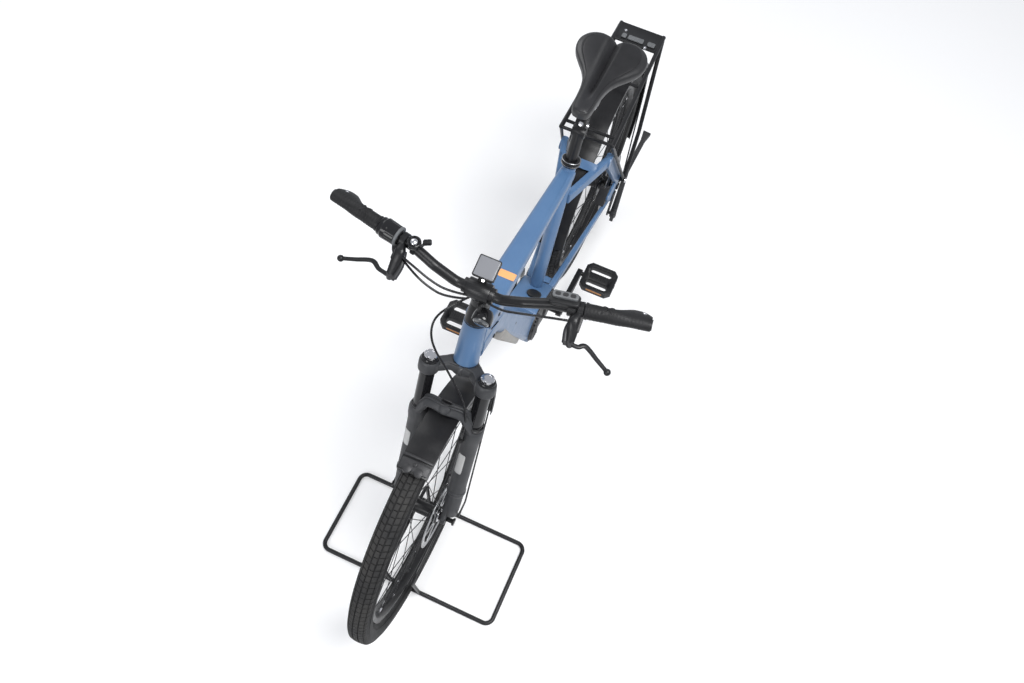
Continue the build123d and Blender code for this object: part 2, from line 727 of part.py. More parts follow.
def chain_stays():
    """Both chain stays with their dropouts and the bridge behind the cradle."""
    start = cranks(-40, 33, 4)
    end = rear(30, REAR_HUB_HALF + DROPOUT_THICK / 2, -8)
    foot_wide = DROPOUT_THICK - 0.4
    tube = box_tube(start, end, CHAIN_STAY_WIDTH, CHAIN_STAY_DEPTH, foot_wide, 26, 4)
    plate = round_hull(
        (REAR_AXLE, 20),
        (rear(-14, 0, 10), 13),
        (rear(6, 0, STAY_FOOT_UP + 8), 13),
        (rear(40, 0, -10), 14),
    )
    one = join(tube, side_plate(plate, REAR_HUB_HALF, REAR_END))
    bridge = Box(20, 80, 20).moved(Location(cranks(-72, 0, 6)))
    arm = round_hull(
        (rear(6, 0, STAY_FOOT_UP + 8), 12),
        (rear(40, 0, -10), 12),
        (rear(REAR_CALIPER[0], 0, REAR_CALIPER[1]), 12),
    )
    mount = side_plate(arm, REAR_ROTOR_Y + CALIPER_REACH, REAR_END)
    both = join(one, mirrored(one), bridge, mount)
    return both - shroud_blank(SHROUD_HALF + 10) - disc(REAR_AXLE, AXLE_R, -100, 100)


def seat_clamp():
    """Two-step collar round the top of the seat tube with its bolt."""
    low = seat(SEAT_TUBE_LENGTH - 14)
    high = seat(SEAT_TUBE_LENGTH + 3)
    collar = rod(low, high, SEAT_TUBE_R + 4.5)
    step = rod(seat(SEAT_TUBE_LENGTH - 9), seat(SEAT_TUBE_LENGTH - 3), SEAT_TUBE_R + 6)
    ear = disc(seat(SEAT_TUBE_LENGTH - 6, -SEAT_TUBE_R - 7), 5, -11, 11)
    whole = join(collar, step, ear) - rod(low, seat(SEAT_TUBE_LENGTH), SEAT_TUBE_R)
    return whole - rod(low, seat(SEAT_TUBE_LENGTH + 20), POST_R)


def post_head():
    """Where the saddle's clamp sits on the end of the post's link."""
    return seat(SEAT_TUBE_LENGTH + POST_OUT + LINK_RISE, -LINK_BACK)


def seatpost():
    """Seatpost with a swinging link on each side and the clamp under the saddle."""
    base = seat(SEAT_TUBE_LENGTH + POST_OUT)
    head = post_head()
    post = rod(seat(160), base, POST_R)
    knuckle = disc(base, 15, -17, 17)
    link = side_plate(round_hull((base, 12), (head, 11)), -13, 13)
    window = side_plate(round_hull((base * 0.62 + head * 0.38, 5), (base * 0.38 + head * 0.62, 5)), -20, 20)
    clamp = disc(head, 13, -22, 22)
    return join(post, knuckle, link, clamp) - window


def saddle_rails():
    """The left rail under the saddle."""
    head = post_head()
    points = [
        head + Vector(72, RAIL_HALF - 10, 21),
        head + Vector(40, RAIL_HALF, 16),
        head + Vector(-36, RAIL_HALF, 14),
        head + Vector(-86, RAIL_HALF + 6, 16),
        head + Vector(-126, RAIL_HALF + 14, 27),
    ]
    return bent_rod(points, 14, RAIL_R)


def saddle():
    """Saddle as one closed form: a slim nose that widens to the rear, a channel along it."""
    head = post_head()
    nose = head.X + SADDLE_AHEAD
    tail = nose - SADDLE_LENGTH
    wing_r = SADDLE_WIDTH / 4
    tip = Pos(nose - 19, 0) * Circle(19)
    waist = Pos(nose - 105, 0) * Circle(33)
    wing = Pos(tail + wing_r + 4, SADDLE_WIDTH / 2 - wing_r) * Circle(wing_r)
    other = Pos(tail + wing_r + 4, wing_r - SADDLE_WIDTH / 2) * Circle(wing_r)
    front = extrude(make_hull(tip.edges() + waist.edges()), amount=SADDLE_THICK)
    back = extrude(make_hull(waist.edges() + wing.edges() + other.edges()), amount=SADDLE_THICK)
    whole = join(front, back)
    notch = Polygon((-15, SADDLE_THICK + 1), (15, SADDLE_THICK + 1), (0, SADDLE_THICK - 7), align=None)
    channel = extrude(Plane(origin=(tail - CUT_OVER, 0, 0), x_dir=(0, 1, 0), z_dir=(1, 0, 0)) * notch,
                      amount=SADDLE_LENGTH - 20)
    return (whole - channel).moved(Location((0, 0, head.Z + SADDLE_OVER - SADDLE_THICK)))


def rear_axle():
    """Through axle of the rear wheel with its heads."""
    axle = disc(REAR_AXLE, AXLE_R, -REAR_END - 1, REAR_END + 1)
    return join(axle, disc(REAR_AXLE, 11, REAR_END, REAR_END + 6), disc(REAR_AXLE, 11, -REAR_END - 6, -REAR_END))


# ---- mudguards ----
def fender_arc(axle, radius_in, radius_out, span):
    """Curved sheet over a wheel between two angles from straight ahead."""
    half = FENDER_HALF
    ring = disc(axle, radius_out, -half, half) - disc(axle, radius_in, -half - 1, half + 1)
    size = radius_out * 2.5
    points = [(axle.X, axle.Z)]
    steps = 8
    for index in range(steps + 1):
        turn = radians(span[0] + (span[1] - span[0]) * index / steps)
        points.append((axle.X + size * cos(turn), axle.Z + size * sin(turn)))
    return ring & side_plate(Polygon(*points, align=None), -half - 2, half + 2)


def fender_shell(axle, span):
    """Mudguard sheet with its turned-down edges."""
    sheet = fender_arc(axle, FENDER_RADIUS, FENDER_OUTER, span)
    edge = FENDER_HALF - 2.5
    lips = fender_arc(axle, FENDER_RADIUS - FENDER_LIP, FENDER_OUTER, span)
    return join(sheet, lips - disc(axle, FENDER_OUTER + CUT_OVER, -edge, edge))


def fender_stay(axle, bolt, face, turn):
    """Wire stay from an eyelet on a side face to the mudguard's left edge."""
    reach = FENDER_RADIUS - 3
    edge = axle + Vector(reach * cos(radians(turn)), FENDER_HALF - 1, reach * sin(radians(turn)))
    line = (edge - bolt).normalized()
    start = Vector(bolt.X, face + FENDER_STAY_R, bolt.Z)
    knee = start + Vector(line.X, 0, line.Z) * 34
    stay = bent_rod([start, knee, edge], 60, FENDER_STAY_R)
    return join(stay, disc(bolt, EYELET_R, face, face + 2 * FENDER_STAY_R))


def rear_fender():
    """Rear mudguard with a wire stay on each side."""
    stay = fender_stay(REAR_AXLE, rear(-16, 0, 10), REAR_END + SEAT_GAP, REAR_STAY_TURN)
    return join(fender_shell(REAR_AXLE, REAR_FENDER_SPAN), stay, mirrored(stay))


def arch_plane(off=0.0):
    """The fork arch's leaning plane, or one off to its back."""
    lean = radians(ARCH_LEAN)
    rise = STEER_UP * cos(lean) + STEER_AHEAD * sin(lean)
    back = STEER_UP * sin(lean) - STEER_AHEAD * cos(lean)
    return Plane(steer(LOWER_TOP - 26, LEG_OFFSET + 6) + back * off, x_dir=ACROSS, z_dir=ACROSS.cross(rise))


def front_fender():
    """Front mudguard with its wire stays and the tab behind the fork's arch."""
    shell = fender_shell(FRONT_AXLE, FRONT_FENDER_SPAN)
    plane = arch_plane(ARCH_WALL / 2 + SEAT_GAP + FENDER_TAB_THICK / 2)
    tab = extrude(plane * (Pos(0, 40) * Rectangle(FENDER_TAB_WIDTH, 70)), amount=FENDER_TAB_THICK / 2, both=True)
    tab = tab - disc(FRONT_AXLE, FENDER_RADIUS + 1, -FENDER_HALF, FENDER_HALF)
    stay = fender_stay(FRONT_AXLE, steer(36, LEG_OFFSET), LEG_OUTER + SEAT_GAP, FRONT_STAY_TURN)
    return join(shell, tab, stay, mirrored(stay))


# ---- carrier, rear brake and side stand ----
def rear_rack():
    """Carrier: two rails, bars across them, a plate behind, and a leg and brace on each side."""
    height = FENDER_OUTER + RACK_LIFT
    front = rear(RACK_AHEAD, RACK_HALF_FRONT, height)
    back = rear(-RACK_BEHIND, RACK_HALF_REAR, height)
    foot = rear(2, RACK_FOOT_Y, STAY_FOOT_UP)
    rail = rod(front, back, RACK_ROD_R)
    leg = bent_rod([foot, rear(-80, RACK_FOOT_Y - 6, 168), rear(-226, RACK_HALF_REAR + 1, height)], 60, RACK_ROD_R)
    brace = rod(front, foot, RACK_BAR_R)
    ends = [Sphere(RACK_ROD_R).moved(Location(front)), disc(foot, 9, REAR_END, RACK_FOOT_Y + RACK_ROD_R)]
    side = join(rail, leg, brace, *ends)
    bars = []
    for x in (RACK_AHEAD, RACK_AHEAD - 26, -30, RACK_PLATE - RACK_BEHIND):
        share = (RACK_AHEAD - x) / (RACK_AHEAD + RACK_BEHIND)
        y = RACK_HALF_FRONT + (RACK_HALF_REAR - RACK_HALF_FRONT) * share
        bars.append(rod(rear(x, -y, height), rear(x, y, height), RACK_BAR_R))
    plate = Box(RACK_PLATE, 2 * RACK_HALF_REAR, 5)
    plate = plate.moved(Location(rear(RACK_PLATE / 2 - RACK_BEHIND, 0, height + 1)))
    return join(side, mirrored(side), plate, *bars)


def rear_light():
    """Tail lamp under the carrier's rear plate."""
    return Box(16, 74, 30).moved(Location(rear(8 - RACK_BEHIND, 0, FENDER_OUTER + RACK_LIFT - 1.5 - 15)))


def caliper(centre, angle):
    """Brake caliper: a block with a slot that the disc turns in."""
    inner = ROTOR_THICK / 2 + MOVING_GAP + CALIPER_WALL_IN
    outer = ROTOR_THICK / 2 + MOVING_GAP + CALIPER_WALL_OUT
    block = Box(CALIPER_LENGTH, inner + outer, CALIPER_HEIGHT).moved(Location((0, (outer - inner) / 2, 0)))
    slot = Box(CALIPER_LENGTH + CUT_OVER, ROTOR_THICK + 2 * MOVING_GAP, CALIPER_HEIGHT + CUT_OVER)
    body = block - slot.moved(Location((0, 0, -CUT_OVER)))
    return body.rotate(Axis.Y, -angle).moved(Location(centre))


def rear_caliper():
    """Caliper above the rear disc."""
    return caliper(rear(REAR_CALIPER[0], REAR_ROTOR_Y, REAR_CALIPER[1]), -61)


def front_caliper():
    """Caliper behind the left fork leg."""
    return caliper(FRONT_AXLE + Vector(FRONT_CALIPER[0], FRONT_ROTOR_Y, FRONT_CALIPER[1]), 58)


def kick_places():
    """The side stand's pivot and the direction of its pin."""
    return rear(*KICK_AT), Vector(0, cos(radians(KICK_TILT)), sin(radians(KICK_TILT)))


def kick_bracket():
    """Cast bracket bolted to the left dropout, with the leg's pin."""
    pivot, pin_dir = kick_places()
    bolt = rear(32, 0, -12)
    face = REAR_END + SEAT_GAP
    outline = round_hull((bolt, 12), (bolt + Vector(-15, 0, -5), 9), (pivot, 13))
    plate = side_plate(outline, face, face + 4.5)
    pin = rod(pivot - pin_dir * (pivot.Y - face), pivot + pin_dir * (KICK_EYE_HALF + 2), KICK_PIN_R)
    return join(plate, pin)


def kick_leg():
    """Folded leg of the side stand: a wide head, a bent leg and a flared foot."""
    pivot, pin_dir = kick_places()
    head = rod(pivot - pin_dir * KICK_EYE_HALF, pivot + pin_dir * KICK_EYE_HALF, KICK_EYE_R)
    heel = side_plate(round_hull((pivot, 12), (pivot + Vector(6, 0, -20), 9)), pivot.Y - 4, pivot.Y + 6)
    knee = pivot + Vector(*KICK_KNEE)
    foot = knee + Vector(*KICK_FOOT)
    upper = taper(pivot, knee, 10, KICK_R)
    lower = taper(knee, foot, KICK_R, 8)
    along = (foot - knee).normalized()
    pad = box_tube(foot - along * 26, foot + along * 6, 15, 15, 26, 20, 3)
    bore = rod(pivot - pin_dir * 30, pivot + pin_dir * 30, KICK_PIN_R + PIVOT_PLAY)
    return join(head, heel, upper, Sphere(KICK_R).moved(Location(knee)), lower, pad) - bore


# ---- fork ----
def leg_rod(low, high, radius, side):
    """A round bar on a fork leg's line."""
    return rod(steer(low, LEG_OFFSET, side * LEG_SPACING), steer(high, LEG_OFFSET, side * LEG_SPACING), radius)


def fork_crown():
    """Steerer and a crown with a round knuckle on each upper tube and a hollowed front."""
    low = CROWN_RACE - CROWN_HEIGHT
    plan = make_hull(
        Circle(CROWN_R).edges()
        + (Pos(LEG_OFFSET, LEG_SPACING) * Circle(KNUCKLE_R - 3)).edges()
        + (Pos(LEG_OFFSET, -LEG_SPACING) * Circle(KNUCKLE_R - 3)).edges()
    )
    plan = plan - Pos(LEG_OFFSET + CROWN_HOLLOW_R + 8, 0) * Circle(CROWN_HOLLOW_R)
    body = extrude(Plane(steer(low + 5), x_dir=STEER_AHEAD, z_dir=STEER_UP) * plan, amount=CROWN_HEIGHT - 9)
    body = join(body, rod(steer(CROWN_RACE - 8), steer(CROWN_RACE - SEAT_GAP), HEAD_R_LOW - 1))
    for side in (1, -1):
        body = body + leg_rod(low, CROWN_RACE + 2, KNUCKLE_R, side)
    for side in (1, -1):
        body = body - leg_rod(low - CUT_OVER, CROWN_RACE + 40, STANCHION_R, side)
    return body + rod(steer(CROWN_RACE - 30), steer(STEM_TOP), STEERER_R)


def stanchions():
    """Both upper tubes with their caps."""
    parts = []
    for side in (1, -1):
        tube = leg_rod(LOWER_TOP - 128, CROWN_RACE + 2, STANCHION_R, side)
        cap = leg_rod(CROWN_RACE + 2, CROWN_RACE + 2 + CAP_HEIGHT, CAP_R, side)
        dial = leg_rod(CROWN_RACE + 2 + CAP_HEIGHT, CROWN_RACE + 5 + CAP_HEIGHT, CAP_R - 6, side)
        parts.append(join(tube, cap, dial))
    return group(*parts)


def fork_lowers():
    """Both lower legs with the angular arch over the mudguard, the dropouts and the brake's lug."""
    half = LEG_SPACING
    top = (ARCH_TOP - LOWER_TOP + 26) / cos(radians(ARCH_LEAN))
    outer = [(half + 17, 0), (half + 14, 26), (half - 12, top - 20), (half - 34, top)]
    inner = [(half - 14, 0), (half - 17, 20), (half - 32, top - 20 - ARCH_BAR * 0.4), (half - 44, top - ARCH_BAR)]
    edge = outer + [(-y, z) for y, z in reversed(outer)] + [(-y, z) for y, z in inner] + list(reversed(inner))
    plane = arch_plane()
    arch = extrude(plane * make_face(Polyline(*edge, close=True)), amount=ARCH_WALL / 2, both=True)
    boss = extrude(plane * (Pos(0, top - ARCH_BAR / 2) * Circle(ARCH_BOSS_R)), amount=ARCH_WALL / 2 + 1)
    body = join(arch, boss)
    for side in (1, -1):
        foot = round_hull((FRONT_AXLE, 17), (steer(36, LEG_OFFSET), 20))
        leg = join(
            leg_rod(LOWER_FOOT, LOWER_TOP, LOWER_R, side),
            leg_rod(LOWER_TOP - SEAL_HEIGHT, LOWER_TOP, SEAL_R, side),
            side_plate(foot, side * FRONT_HUB_HALF, side * FORK_END),
        )
        body = join(body, leg)
    lug_outline = round_hull(
        (steer(60, LEG_OFFSET), 14),
        (steer(120, LEG_OFFSET), 14),
        (FRONT_AXLE + Vector(FRONT_CALIPER[0], 0, FRONT_CALIPER[1]), 12),
    )
    lug_y = FRONT_ROTOR_Y + CALIPER_REACH
    body = join(body, side_plate(lug_outline, lug_y, lug_y + LUG_THICK))
    for side in (1, -1):
        body = body - leg_rod(LOWER_TOP - 128, CROWN_RACE, STANCHION_R, side)
    return body - disc(FRONT_AXLE, AXLE_R, -120, 120)


def front_axle():
    """Through axle of the front wheel with its heads."""
    axle = disc(FRONT_AXLE, AXLE_R, -FORK_END, FORK_END)
    return join(axle, disc(FRONT_AXLE, 10, FORK_END, FORK_END + 5), disc(FRONT_AXLE, 10, -FORK_END - 5, -FORK_END))


# ---- cockpit ----
def spacers():
    """Tapered cover over the bearing and the spacers under the stem."""
    low = steer(HEAD_TOP + SEAT_GAP)
    top = steer(STEM_LOW)
    return taper(low, top, SPACER_R_LOW, SPACER_R_TOP) - rod(low - STEER_UP * 5, top + STEER_UP * 5, STEERER_R)


def bar_centre(up=0.0, ahead=0.0, side=0.0):
    """A point measured from the middle of the handlebar, turning with the fork."""
    return steer(STEM_LOW + STEM_RISE + up, STEM_REACH + ahead, side)


def stem():
    """Stem from the steerer to the handlebar, with the clamp's bore."""
    low = steer(STEM_LOW)
    top = steer(STEM_TOP)
    collar = rod(low, top + STEER_UP * 4, STEM_R)
    bar = bar_centre()
    clamp = disc(bar, BAR_CLAMP_R + 5, -25, 25)
    body = box_tube((low + top) * 0.5, bar, 40, 36, 44, 34, 8)
    whole = join(collar, clamp, body) - disc(bar, BAR_CLAMP_R, -40, 40)
    return whole - rod(low - STEER_UP * 5, top, STEERER_R)


def bar_points(side):
    """Half of the handlebar's centre line: clamp, rise, sweep and end."""
    flat = BAR_HALF - BAR_STRAIGHT
    outs = (BAR_SHARES[0] * flat, BAR_SHARES[1] * flat, flat, BAR_HALF)
    points = [bar_centre()]
    for up, ahead, out in zip(BAR_RISE, BAR_SWEEP, outs):
        points.append(bar_centre(up, ahead, side * out))
    return points


def handlebar():
    """Bar with a thick middle, a rise and a back sweep."""
    right = bar_points(-1)
    left = bar_points(1)
    bar = bent_rod(list(reversed(right[1:])) + left[1:], BAR_BEND_R, BAR_R)
    return join(bar, disc(bar_centre(), BAR_CLAMP_R, -34, 34))


def on_bar(side, distance):
    """A point on the bar's outer straight, measured inward from its end."""
    points = bar_points(side)
    return points[-1] + (points[-2] - points[-1]).normalized() * distance


def bar_ring(side, near, far, radius):
    """A clamp ring round the bar between two distances from its end."""
    inner = on_bar(side, far)
    outer = on_bar(side, near)
    return rod(inner, outer, radius) - rod(inner, outer, BAR_R)


def grip(side, length):
    """One grip with a flat wing under the palm at its outer end."""
    axis = on_bar(side, 0) - on_bar(side, length)
    back = -STEER_AHEAD
    sections = []
    for share, wide, thick, shift in ((0, GRIP_R, GRIP_R, 0), (0.45, GRIP_R + 1, GRIP_R - 1, 1),
                                      (0.8, GRIP_WING, GRIP_R - 2, 8), (1, GRIP_WING - 3, GRIP_R - 3, 8)):
        at = on_bar(side, length * (1 - share)) + back * shift
        sections.append(Plane(at, x_dir=back, z_dir=axis) * Ellipse(wide, thick))
    return loft(sections) - rod(on_bar(side, length + CUT_OVER), on_bar(side, -CUT_OVER), BAR_R)


def grips():
    """The long left grip and the short right one."""
    return group(grip(1, GRIP_LENGTH), grip(-1, SHORT_GRIP))


def lever(side, near, root, elbow, tip):
    """One brake lever: clamp, reservoir body and blade with a ball end."""
    far = near + LEVER_CLAMP
    clamp = rod(on_bar(side, near), on_bar(side, far), BAR_R + 6)
    middle = on_bar(side, near + LEVER_CLAMP / 2)
    pivot = middle + Vector(*root)
    bend = pivot + Vector(*elbow)
    end = bend + Vector(*tip)
    body = taper(middle + Vector(8, 0, 0), pivot, 6, 9)
    blade = bent_rod([pivot, bend, end], 24, LEVER_R)
    whole = join(clamp, body, blade, Sphere(LEVER_R + 2.5).moved(Location(end)))
    return whole - rod(on_bar(side, far + CUT_OVER), on_bar(side, near - CUT_OVER * 2), BAR_R)


def levers():
    """Both brake levers, each clear of the controls beside it."""
    near = SHORT_GRIP + SHIFTER_LENGTH + 2 * CONTROL_GAP
    left = lever(1, GRIP_LENGTH + CONTROL_GAP, (48, 6, 0), (-10, 32, 2), (18, 50, 4))
    right = lever(-1, near, (50, -8, -4), (-18, -33, 0), (26, -56, 4))
    return group(left, right)


def twist_shifter():
    """Gear twist drum inside the right grip."""
    near = SHORT_GRIP + CONTROL_GAP
    drum = bar_ring(-1, near, near + SHIFTER_LENGTH - CONTROL_GAP, SHIFTER_R - 3)
    return join(drum, bar_ring(-1, near + 18, near + SHIFTER_LENGTH - 8, SHIFTER_R))


def remote():
    """Control unit on the left of the bar: a ring and the wedge above it."""
    near = GRIP_LENGTH + LEVER_CLAMP + 2 * CONTROL_GAP
    ring = bar_ring(1, near, near + REMOTE_SIZE[0] * 0.6, BAR_R + 6)
    middle = on_bar(1, near + 9)
    base = Box(REMOTE_SIZE[0], REMOTE_SIZE[1], REMOTE_SIZE[2]).moved(Location(middle + Vector(-6, 0, 19)))
    cap = Box(REMOTE_SIZE[0] - 8, REMOTE_SIZE[1] - 6, 7).moved(Location(middle + Vector(-8, 0, 28)))
    return join(ring, base, cap) - rod(on_bar(1, near + 60), on_bar(1, near - 20), BAR_R)


def bell():
    """Bell beside the right lever: ring, dome and thumb knob."""
    near = SHORT_GRIP + SHIFTER_LENGTH + LEVER_CLAMP + 3 * CONTROL_GAP
    ring = bar_ring(-1, near, near + 7, BAR_R + 5)
    at = on_bar(-1, near + 3.5) + Vector(0, 0, 14)
    post = rod(at, at + Vector(0, 0, 8), 4)
    dome = taper(at + Vector(0, 0, 7), at + Vector(0, 0, 19), BELL_R, 8)
    knob = disc(at + Vector(BELL_R - 3, 0, 4), 3, at.Y - 3, at.Y + 10)
    whole = join(ring, post, dome, knob)
    return whole - rod(on_bar(-1, near + 30), on_bar(-1, near - 30), BAR_R)


def display():
    """Square display on a holder above the stem."""
    at = bar_centre(49.4, -11.6, 2)
    body = Box(DISPLAY_SIZE, DISPLAY_SIZE, DISPLAY_THICK).rotate(Axis.Y, 18).moved(Location(at))
    bracket = rod(bar_centre(19.4, -4.8), at, 7)
    return join(body, bracket) - disc(bar_centre(), BAR_CLAMP_R + 5.2, -60, 60)


def headlight():
    """Round headlight ahead of the spacers with its holder."""
    at = bar_centre(-52.4, 8.2, 24)
    forward = Vector(1, 0.05, -0.12).normalized()
    lamp = rod(at - forward * 16, at + forward * 14, LAMP_R)
    lens = taper(at + forward * 14, at + forward * 19, LAMP_R - 3, LAMP_R - 9)
    arm = rod(at + Vector(0, -8, 18), bar_centre(-20.6, 0, 12), 5)
    return join(lamp, lens, arm) - disc(bar_centre(), BAR_CLAMP_R + 5.2, -60, 60)


def hose_front_brake():
    """Brake hose from inside the left lever round to the side of the stem."""
    start = on_bar(1, GRIP_LENGTH + CONTROL_GAP + LEVER_CLAMP / 2) + Vector(28, 3.5, 0)
    points = [
        start,
        bar_centre(42, 42, 172),
        bar_centre(32, 46, 132),
        bar_centre(18, 44, 93),
        bar_centre(0, 34, 56),
        bar_centre(-9, 14, 21),
    ]
    return soft_cord(points, HOSE_R)


def hose_rear_brake():
    """Brake hose from inside the right lever round to the side of the stem."""
    near = SHORT_GRIP + SHIFTER_LENGTH + 2 * CONTROL_GAP
    start = on_bar(-1, near + LEVER_CLAMP / 2) + Vector(30, -4.5, -2)
    points = [
        start,
        bar_centre(30, 46, -134),
        bar_centre(12, 46, -92),
        bar_centre(-4, 36, -54),
        bar_centre(-12, 14, -20),
    ]
    return soft_cord(points, HOSE_R)


def free_run(cord, *others):
    """The part of a cord that shows between the pieces its ends go into."""
    for other in others:
        cord = cord - other
    return max(cord.solids(), key=lambda part: part.volume)


# ---- wheel stand ----
def wheel_stand():
    """Floor stand of round bar: a base under the tyre and a hoop on each side of the wheel."""
    z = ROD_R
    front = FRONT_AXLE.X + STAND_AHEAD
    back = FRONT_AXLE.X - STAND_BEHIND
    base = bent_rod(
        [
            Vector(front, -1, z),
            Vector(front, STAND_HALF, z),
            Vector(back, STAND_HALF, z),
            Vector(back, -1, z),
        ],
        STAND_CORNER,
        ROD_R,
    )
    whole = join(base, mirrored(base))
    for side in (1, -1):
        hoop = bent_rod(
            [
                Vector(front, side * HOOP_FOOT_Y, z),
                Vector(front + HOOP_LEAN, side * HOOP_TOP_Y, HOOP_HEIGHT),
                Vector(back + 16, side * HOOP_TOP_Y, HOOP_HEIGHT),
                Vector(back, side * HOOP_FOOT_Y, z),
            ],
            HOOP_CORNER,
            HOOP_ROD_R,
        )
        whole = join(whole, hoop)
    return whole


save("tyre_front", tyre(FRONT_AXLE))
save("tyre_rear", tyre(REAR_AXLE))
save("wheel_front", laced_wheel(FRONT_AXLE, FRONT_FLANGE_R, FRONT_FLANGE_Y, FRONT_SHELL_R, FRONT_HUB_HALF - SEAT_GAP))
save("wheel_rear", laced_wheel(REAR_AXLE, REAR_FLANGE_R, REAR_FLANGE_Y, REAR_SHELL_R, REAR_HUB_HALF - SEAT_GAP))
save("rotor_front", brake_rotor(FRONT_AXLE, FRONT_ROTOR_Y))
save("rotor_rear", brake_rotor(REAR_AXLE, REAR_ROTOR_Y))
save("rear_cog", toothed_ring(REAR_AXLE, COG_PITCH_R, COG_TEETH, HUB_BOSS_R))
save("chainring", toothed_ring(BOTTOM_BRACKET, CHAIN_PITCH_R, RING_TEETH, RING_BORE_R))
save("chain", chain())
save("crank_set", crank_set())
save("pedal_left", pedal(1))
save("pedal_right", pedal(-1))
save("motor_unit", motor_unit())
save("motor_shroud", motor_shroud())
save("charge_port", charge_port() - shroud_blank(SHROUD_HALF) - seat_blank())
the_down_tube = down_tube()
the_top_tube = top_tube() - the_down_tube
the_chain_stays = chain_stays()
the_seat_stays = seat_stays() - the_chain_stays - the_top_tube
save("head_tube", head_tube([the_down_tube, the_top_tube]))
save("down_tube", the_down_tube)
save("battery", battery_case(0))
save("top_tube", the_top_tube)
save("seat_tube", seat_tube())
save("chain_stays", the_chain_stays)
save("seat_stays", the_seat_stays)
save("seat_clamp", seat_clamp())
the_saddle = saddle()
the_rail = saddle_rails() - the_saddle
save("saddle", the_saddle)
save("saddle_rails", group(the_rail, mirrored(the_rail)))
save("seatpost", seatpost() - the_rail - mirrored(the_rail))
save("rear_axle", rear_axle())
save("rear_fender", rear_fender())
save("rear_rack", rear_rack() - the_seat_stays - the_chain_stays)
save("rear_light", rear_light())
save("rear_caliper", rear_caliper() - the_seat_stays - the_chain_stays)
save("kick_bracket", kick_bracket())
save("kick_leg", kick_leg())
save("fork_crown", fork_crown())
save("stanchions", stanchions())
save("fork_lowers", fork_lowers())
save("front_axle", front_axle())
save("front_caliper", front_caliper())
save("front_fender", front_fender())
save("spacers", spacers())
the_stem = stem()
the_levers = levers()
save("stem", the_stem)
the_bar = handlebar()
save("handlebar", the_bar)
save("grips", grips())
save("brake_levers", the_levers)
save("twist_shifter", twist_shifter())
save("remote", remote() - the_levers)
save("bell", bell() - the_levers)
save("display", display())
save("headlight", headlight() - the_stem)
save("hose_front_brake", free_run(hose_front_brake(), the_levers, the_stem, the_bar))
save("hose_rear_brake", free_run(hose_rear_brake(), the_levers, the_stem, the_bar))
save("wheel_stand", wheel_stand())
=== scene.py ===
import json
import bmesh
import bpy
import numpy as np
from mathutils import Matrix, Vector


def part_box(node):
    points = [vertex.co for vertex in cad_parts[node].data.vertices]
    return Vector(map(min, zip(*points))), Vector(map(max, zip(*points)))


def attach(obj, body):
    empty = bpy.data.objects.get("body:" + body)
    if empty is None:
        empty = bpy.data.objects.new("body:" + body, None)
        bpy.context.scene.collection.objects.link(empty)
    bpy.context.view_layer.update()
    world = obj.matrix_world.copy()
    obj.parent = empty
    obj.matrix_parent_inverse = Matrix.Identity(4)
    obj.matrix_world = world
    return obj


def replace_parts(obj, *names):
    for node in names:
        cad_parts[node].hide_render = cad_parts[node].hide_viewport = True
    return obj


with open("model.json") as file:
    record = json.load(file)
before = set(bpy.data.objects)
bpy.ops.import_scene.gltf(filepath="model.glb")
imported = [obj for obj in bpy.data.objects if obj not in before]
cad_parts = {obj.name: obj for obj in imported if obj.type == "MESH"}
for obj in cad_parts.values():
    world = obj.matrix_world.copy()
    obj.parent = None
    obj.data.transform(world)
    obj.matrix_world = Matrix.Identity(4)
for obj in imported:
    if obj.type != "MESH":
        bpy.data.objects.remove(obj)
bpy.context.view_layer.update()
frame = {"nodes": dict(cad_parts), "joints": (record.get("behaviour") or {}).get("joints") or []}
print("frame loaded:", len(frame["nodes"]), "nodes")

# Places that the pieces share, in metres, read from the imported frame.
jointPlace = {j["name"]: np.array(j["pos_m"], float) for j in frame["joints"]}
jointAxis = {j["name"]: np.array(j["axis"], float) for j in frame["joints"]}
frontHub = jointPlace["front_wheel_spin"]
rearHub = jointPlace["rear_wheel_spin"]
crankCentre = jointPlace["crank_spin"]
steerUp = jointAxis["steering"]
steerAhead = np.array([steerUp[2], 0.0, -steerUp[0]])
across = np.array([0.0, 1.0, 0.0])

# Camera and lamps.
cameraAt = dict(place=(1.1571, 0.3329, 2.5284), yaw=196.42, pitch=-62.35, roll=8.39, lens=30.977,
                sensor=36.0, reach=40.0)


def placeCamera(c):
    # the camera's own axes: forward from yaw and pitch, then right and up turned by the roll
    yaw, pitch, roll = np.radians([c["yaw"], c["pitch"], c["roll"]])
    forward = np.array([np.cos(pitch) * np.cos(yaw), np.cos(pitch) * np.sin(yaw), np.sin(pitch)])
    right = np.cross(forward, (0, 0, 1))
    right /= np.linalg.norm(right)
    up = np.cross(right, forward)
    turnedRight = right * np.cos(roll) + up * np.sin(roll)
    turnedUp = up * np.cos(roll) - right * np.sin(roll)
    data = bpy.data.cameras.new("viewer")
    data.lens = c["lens"]
    data.sensor_width = c["sensor"]
    data.clip_end = c["reach"]
    camera = bpy.data.objects.new("viewer", data)
    bpy.context.scene.collection.objects.link(camera)
    columns = np.column_stack([turnedRight, turnedUp, -forward])
    camera.matrix_world = Matrix.Translation(c["place"]) @ Matrix(columns.tolist()).to_4x4()
    bpy.context.scene.camera = camera


def addLamp(name, place, target, size, power):
    data = bpy.data.lights.new(name, "AREA")
    data.shape = "DISK"
    data.size = size
    data.energy = power
    lamp = bpy.data.objects.new(name, data)
    bpy.context.scene.collection.objects.link(lamp)
    lamp.location = place
    lamp.rotation_mode = "QUATERNION"
    lamp.rotation_quaternion = (Vector(target) - Vector(place)).to_track_quat("-Z", "Y")


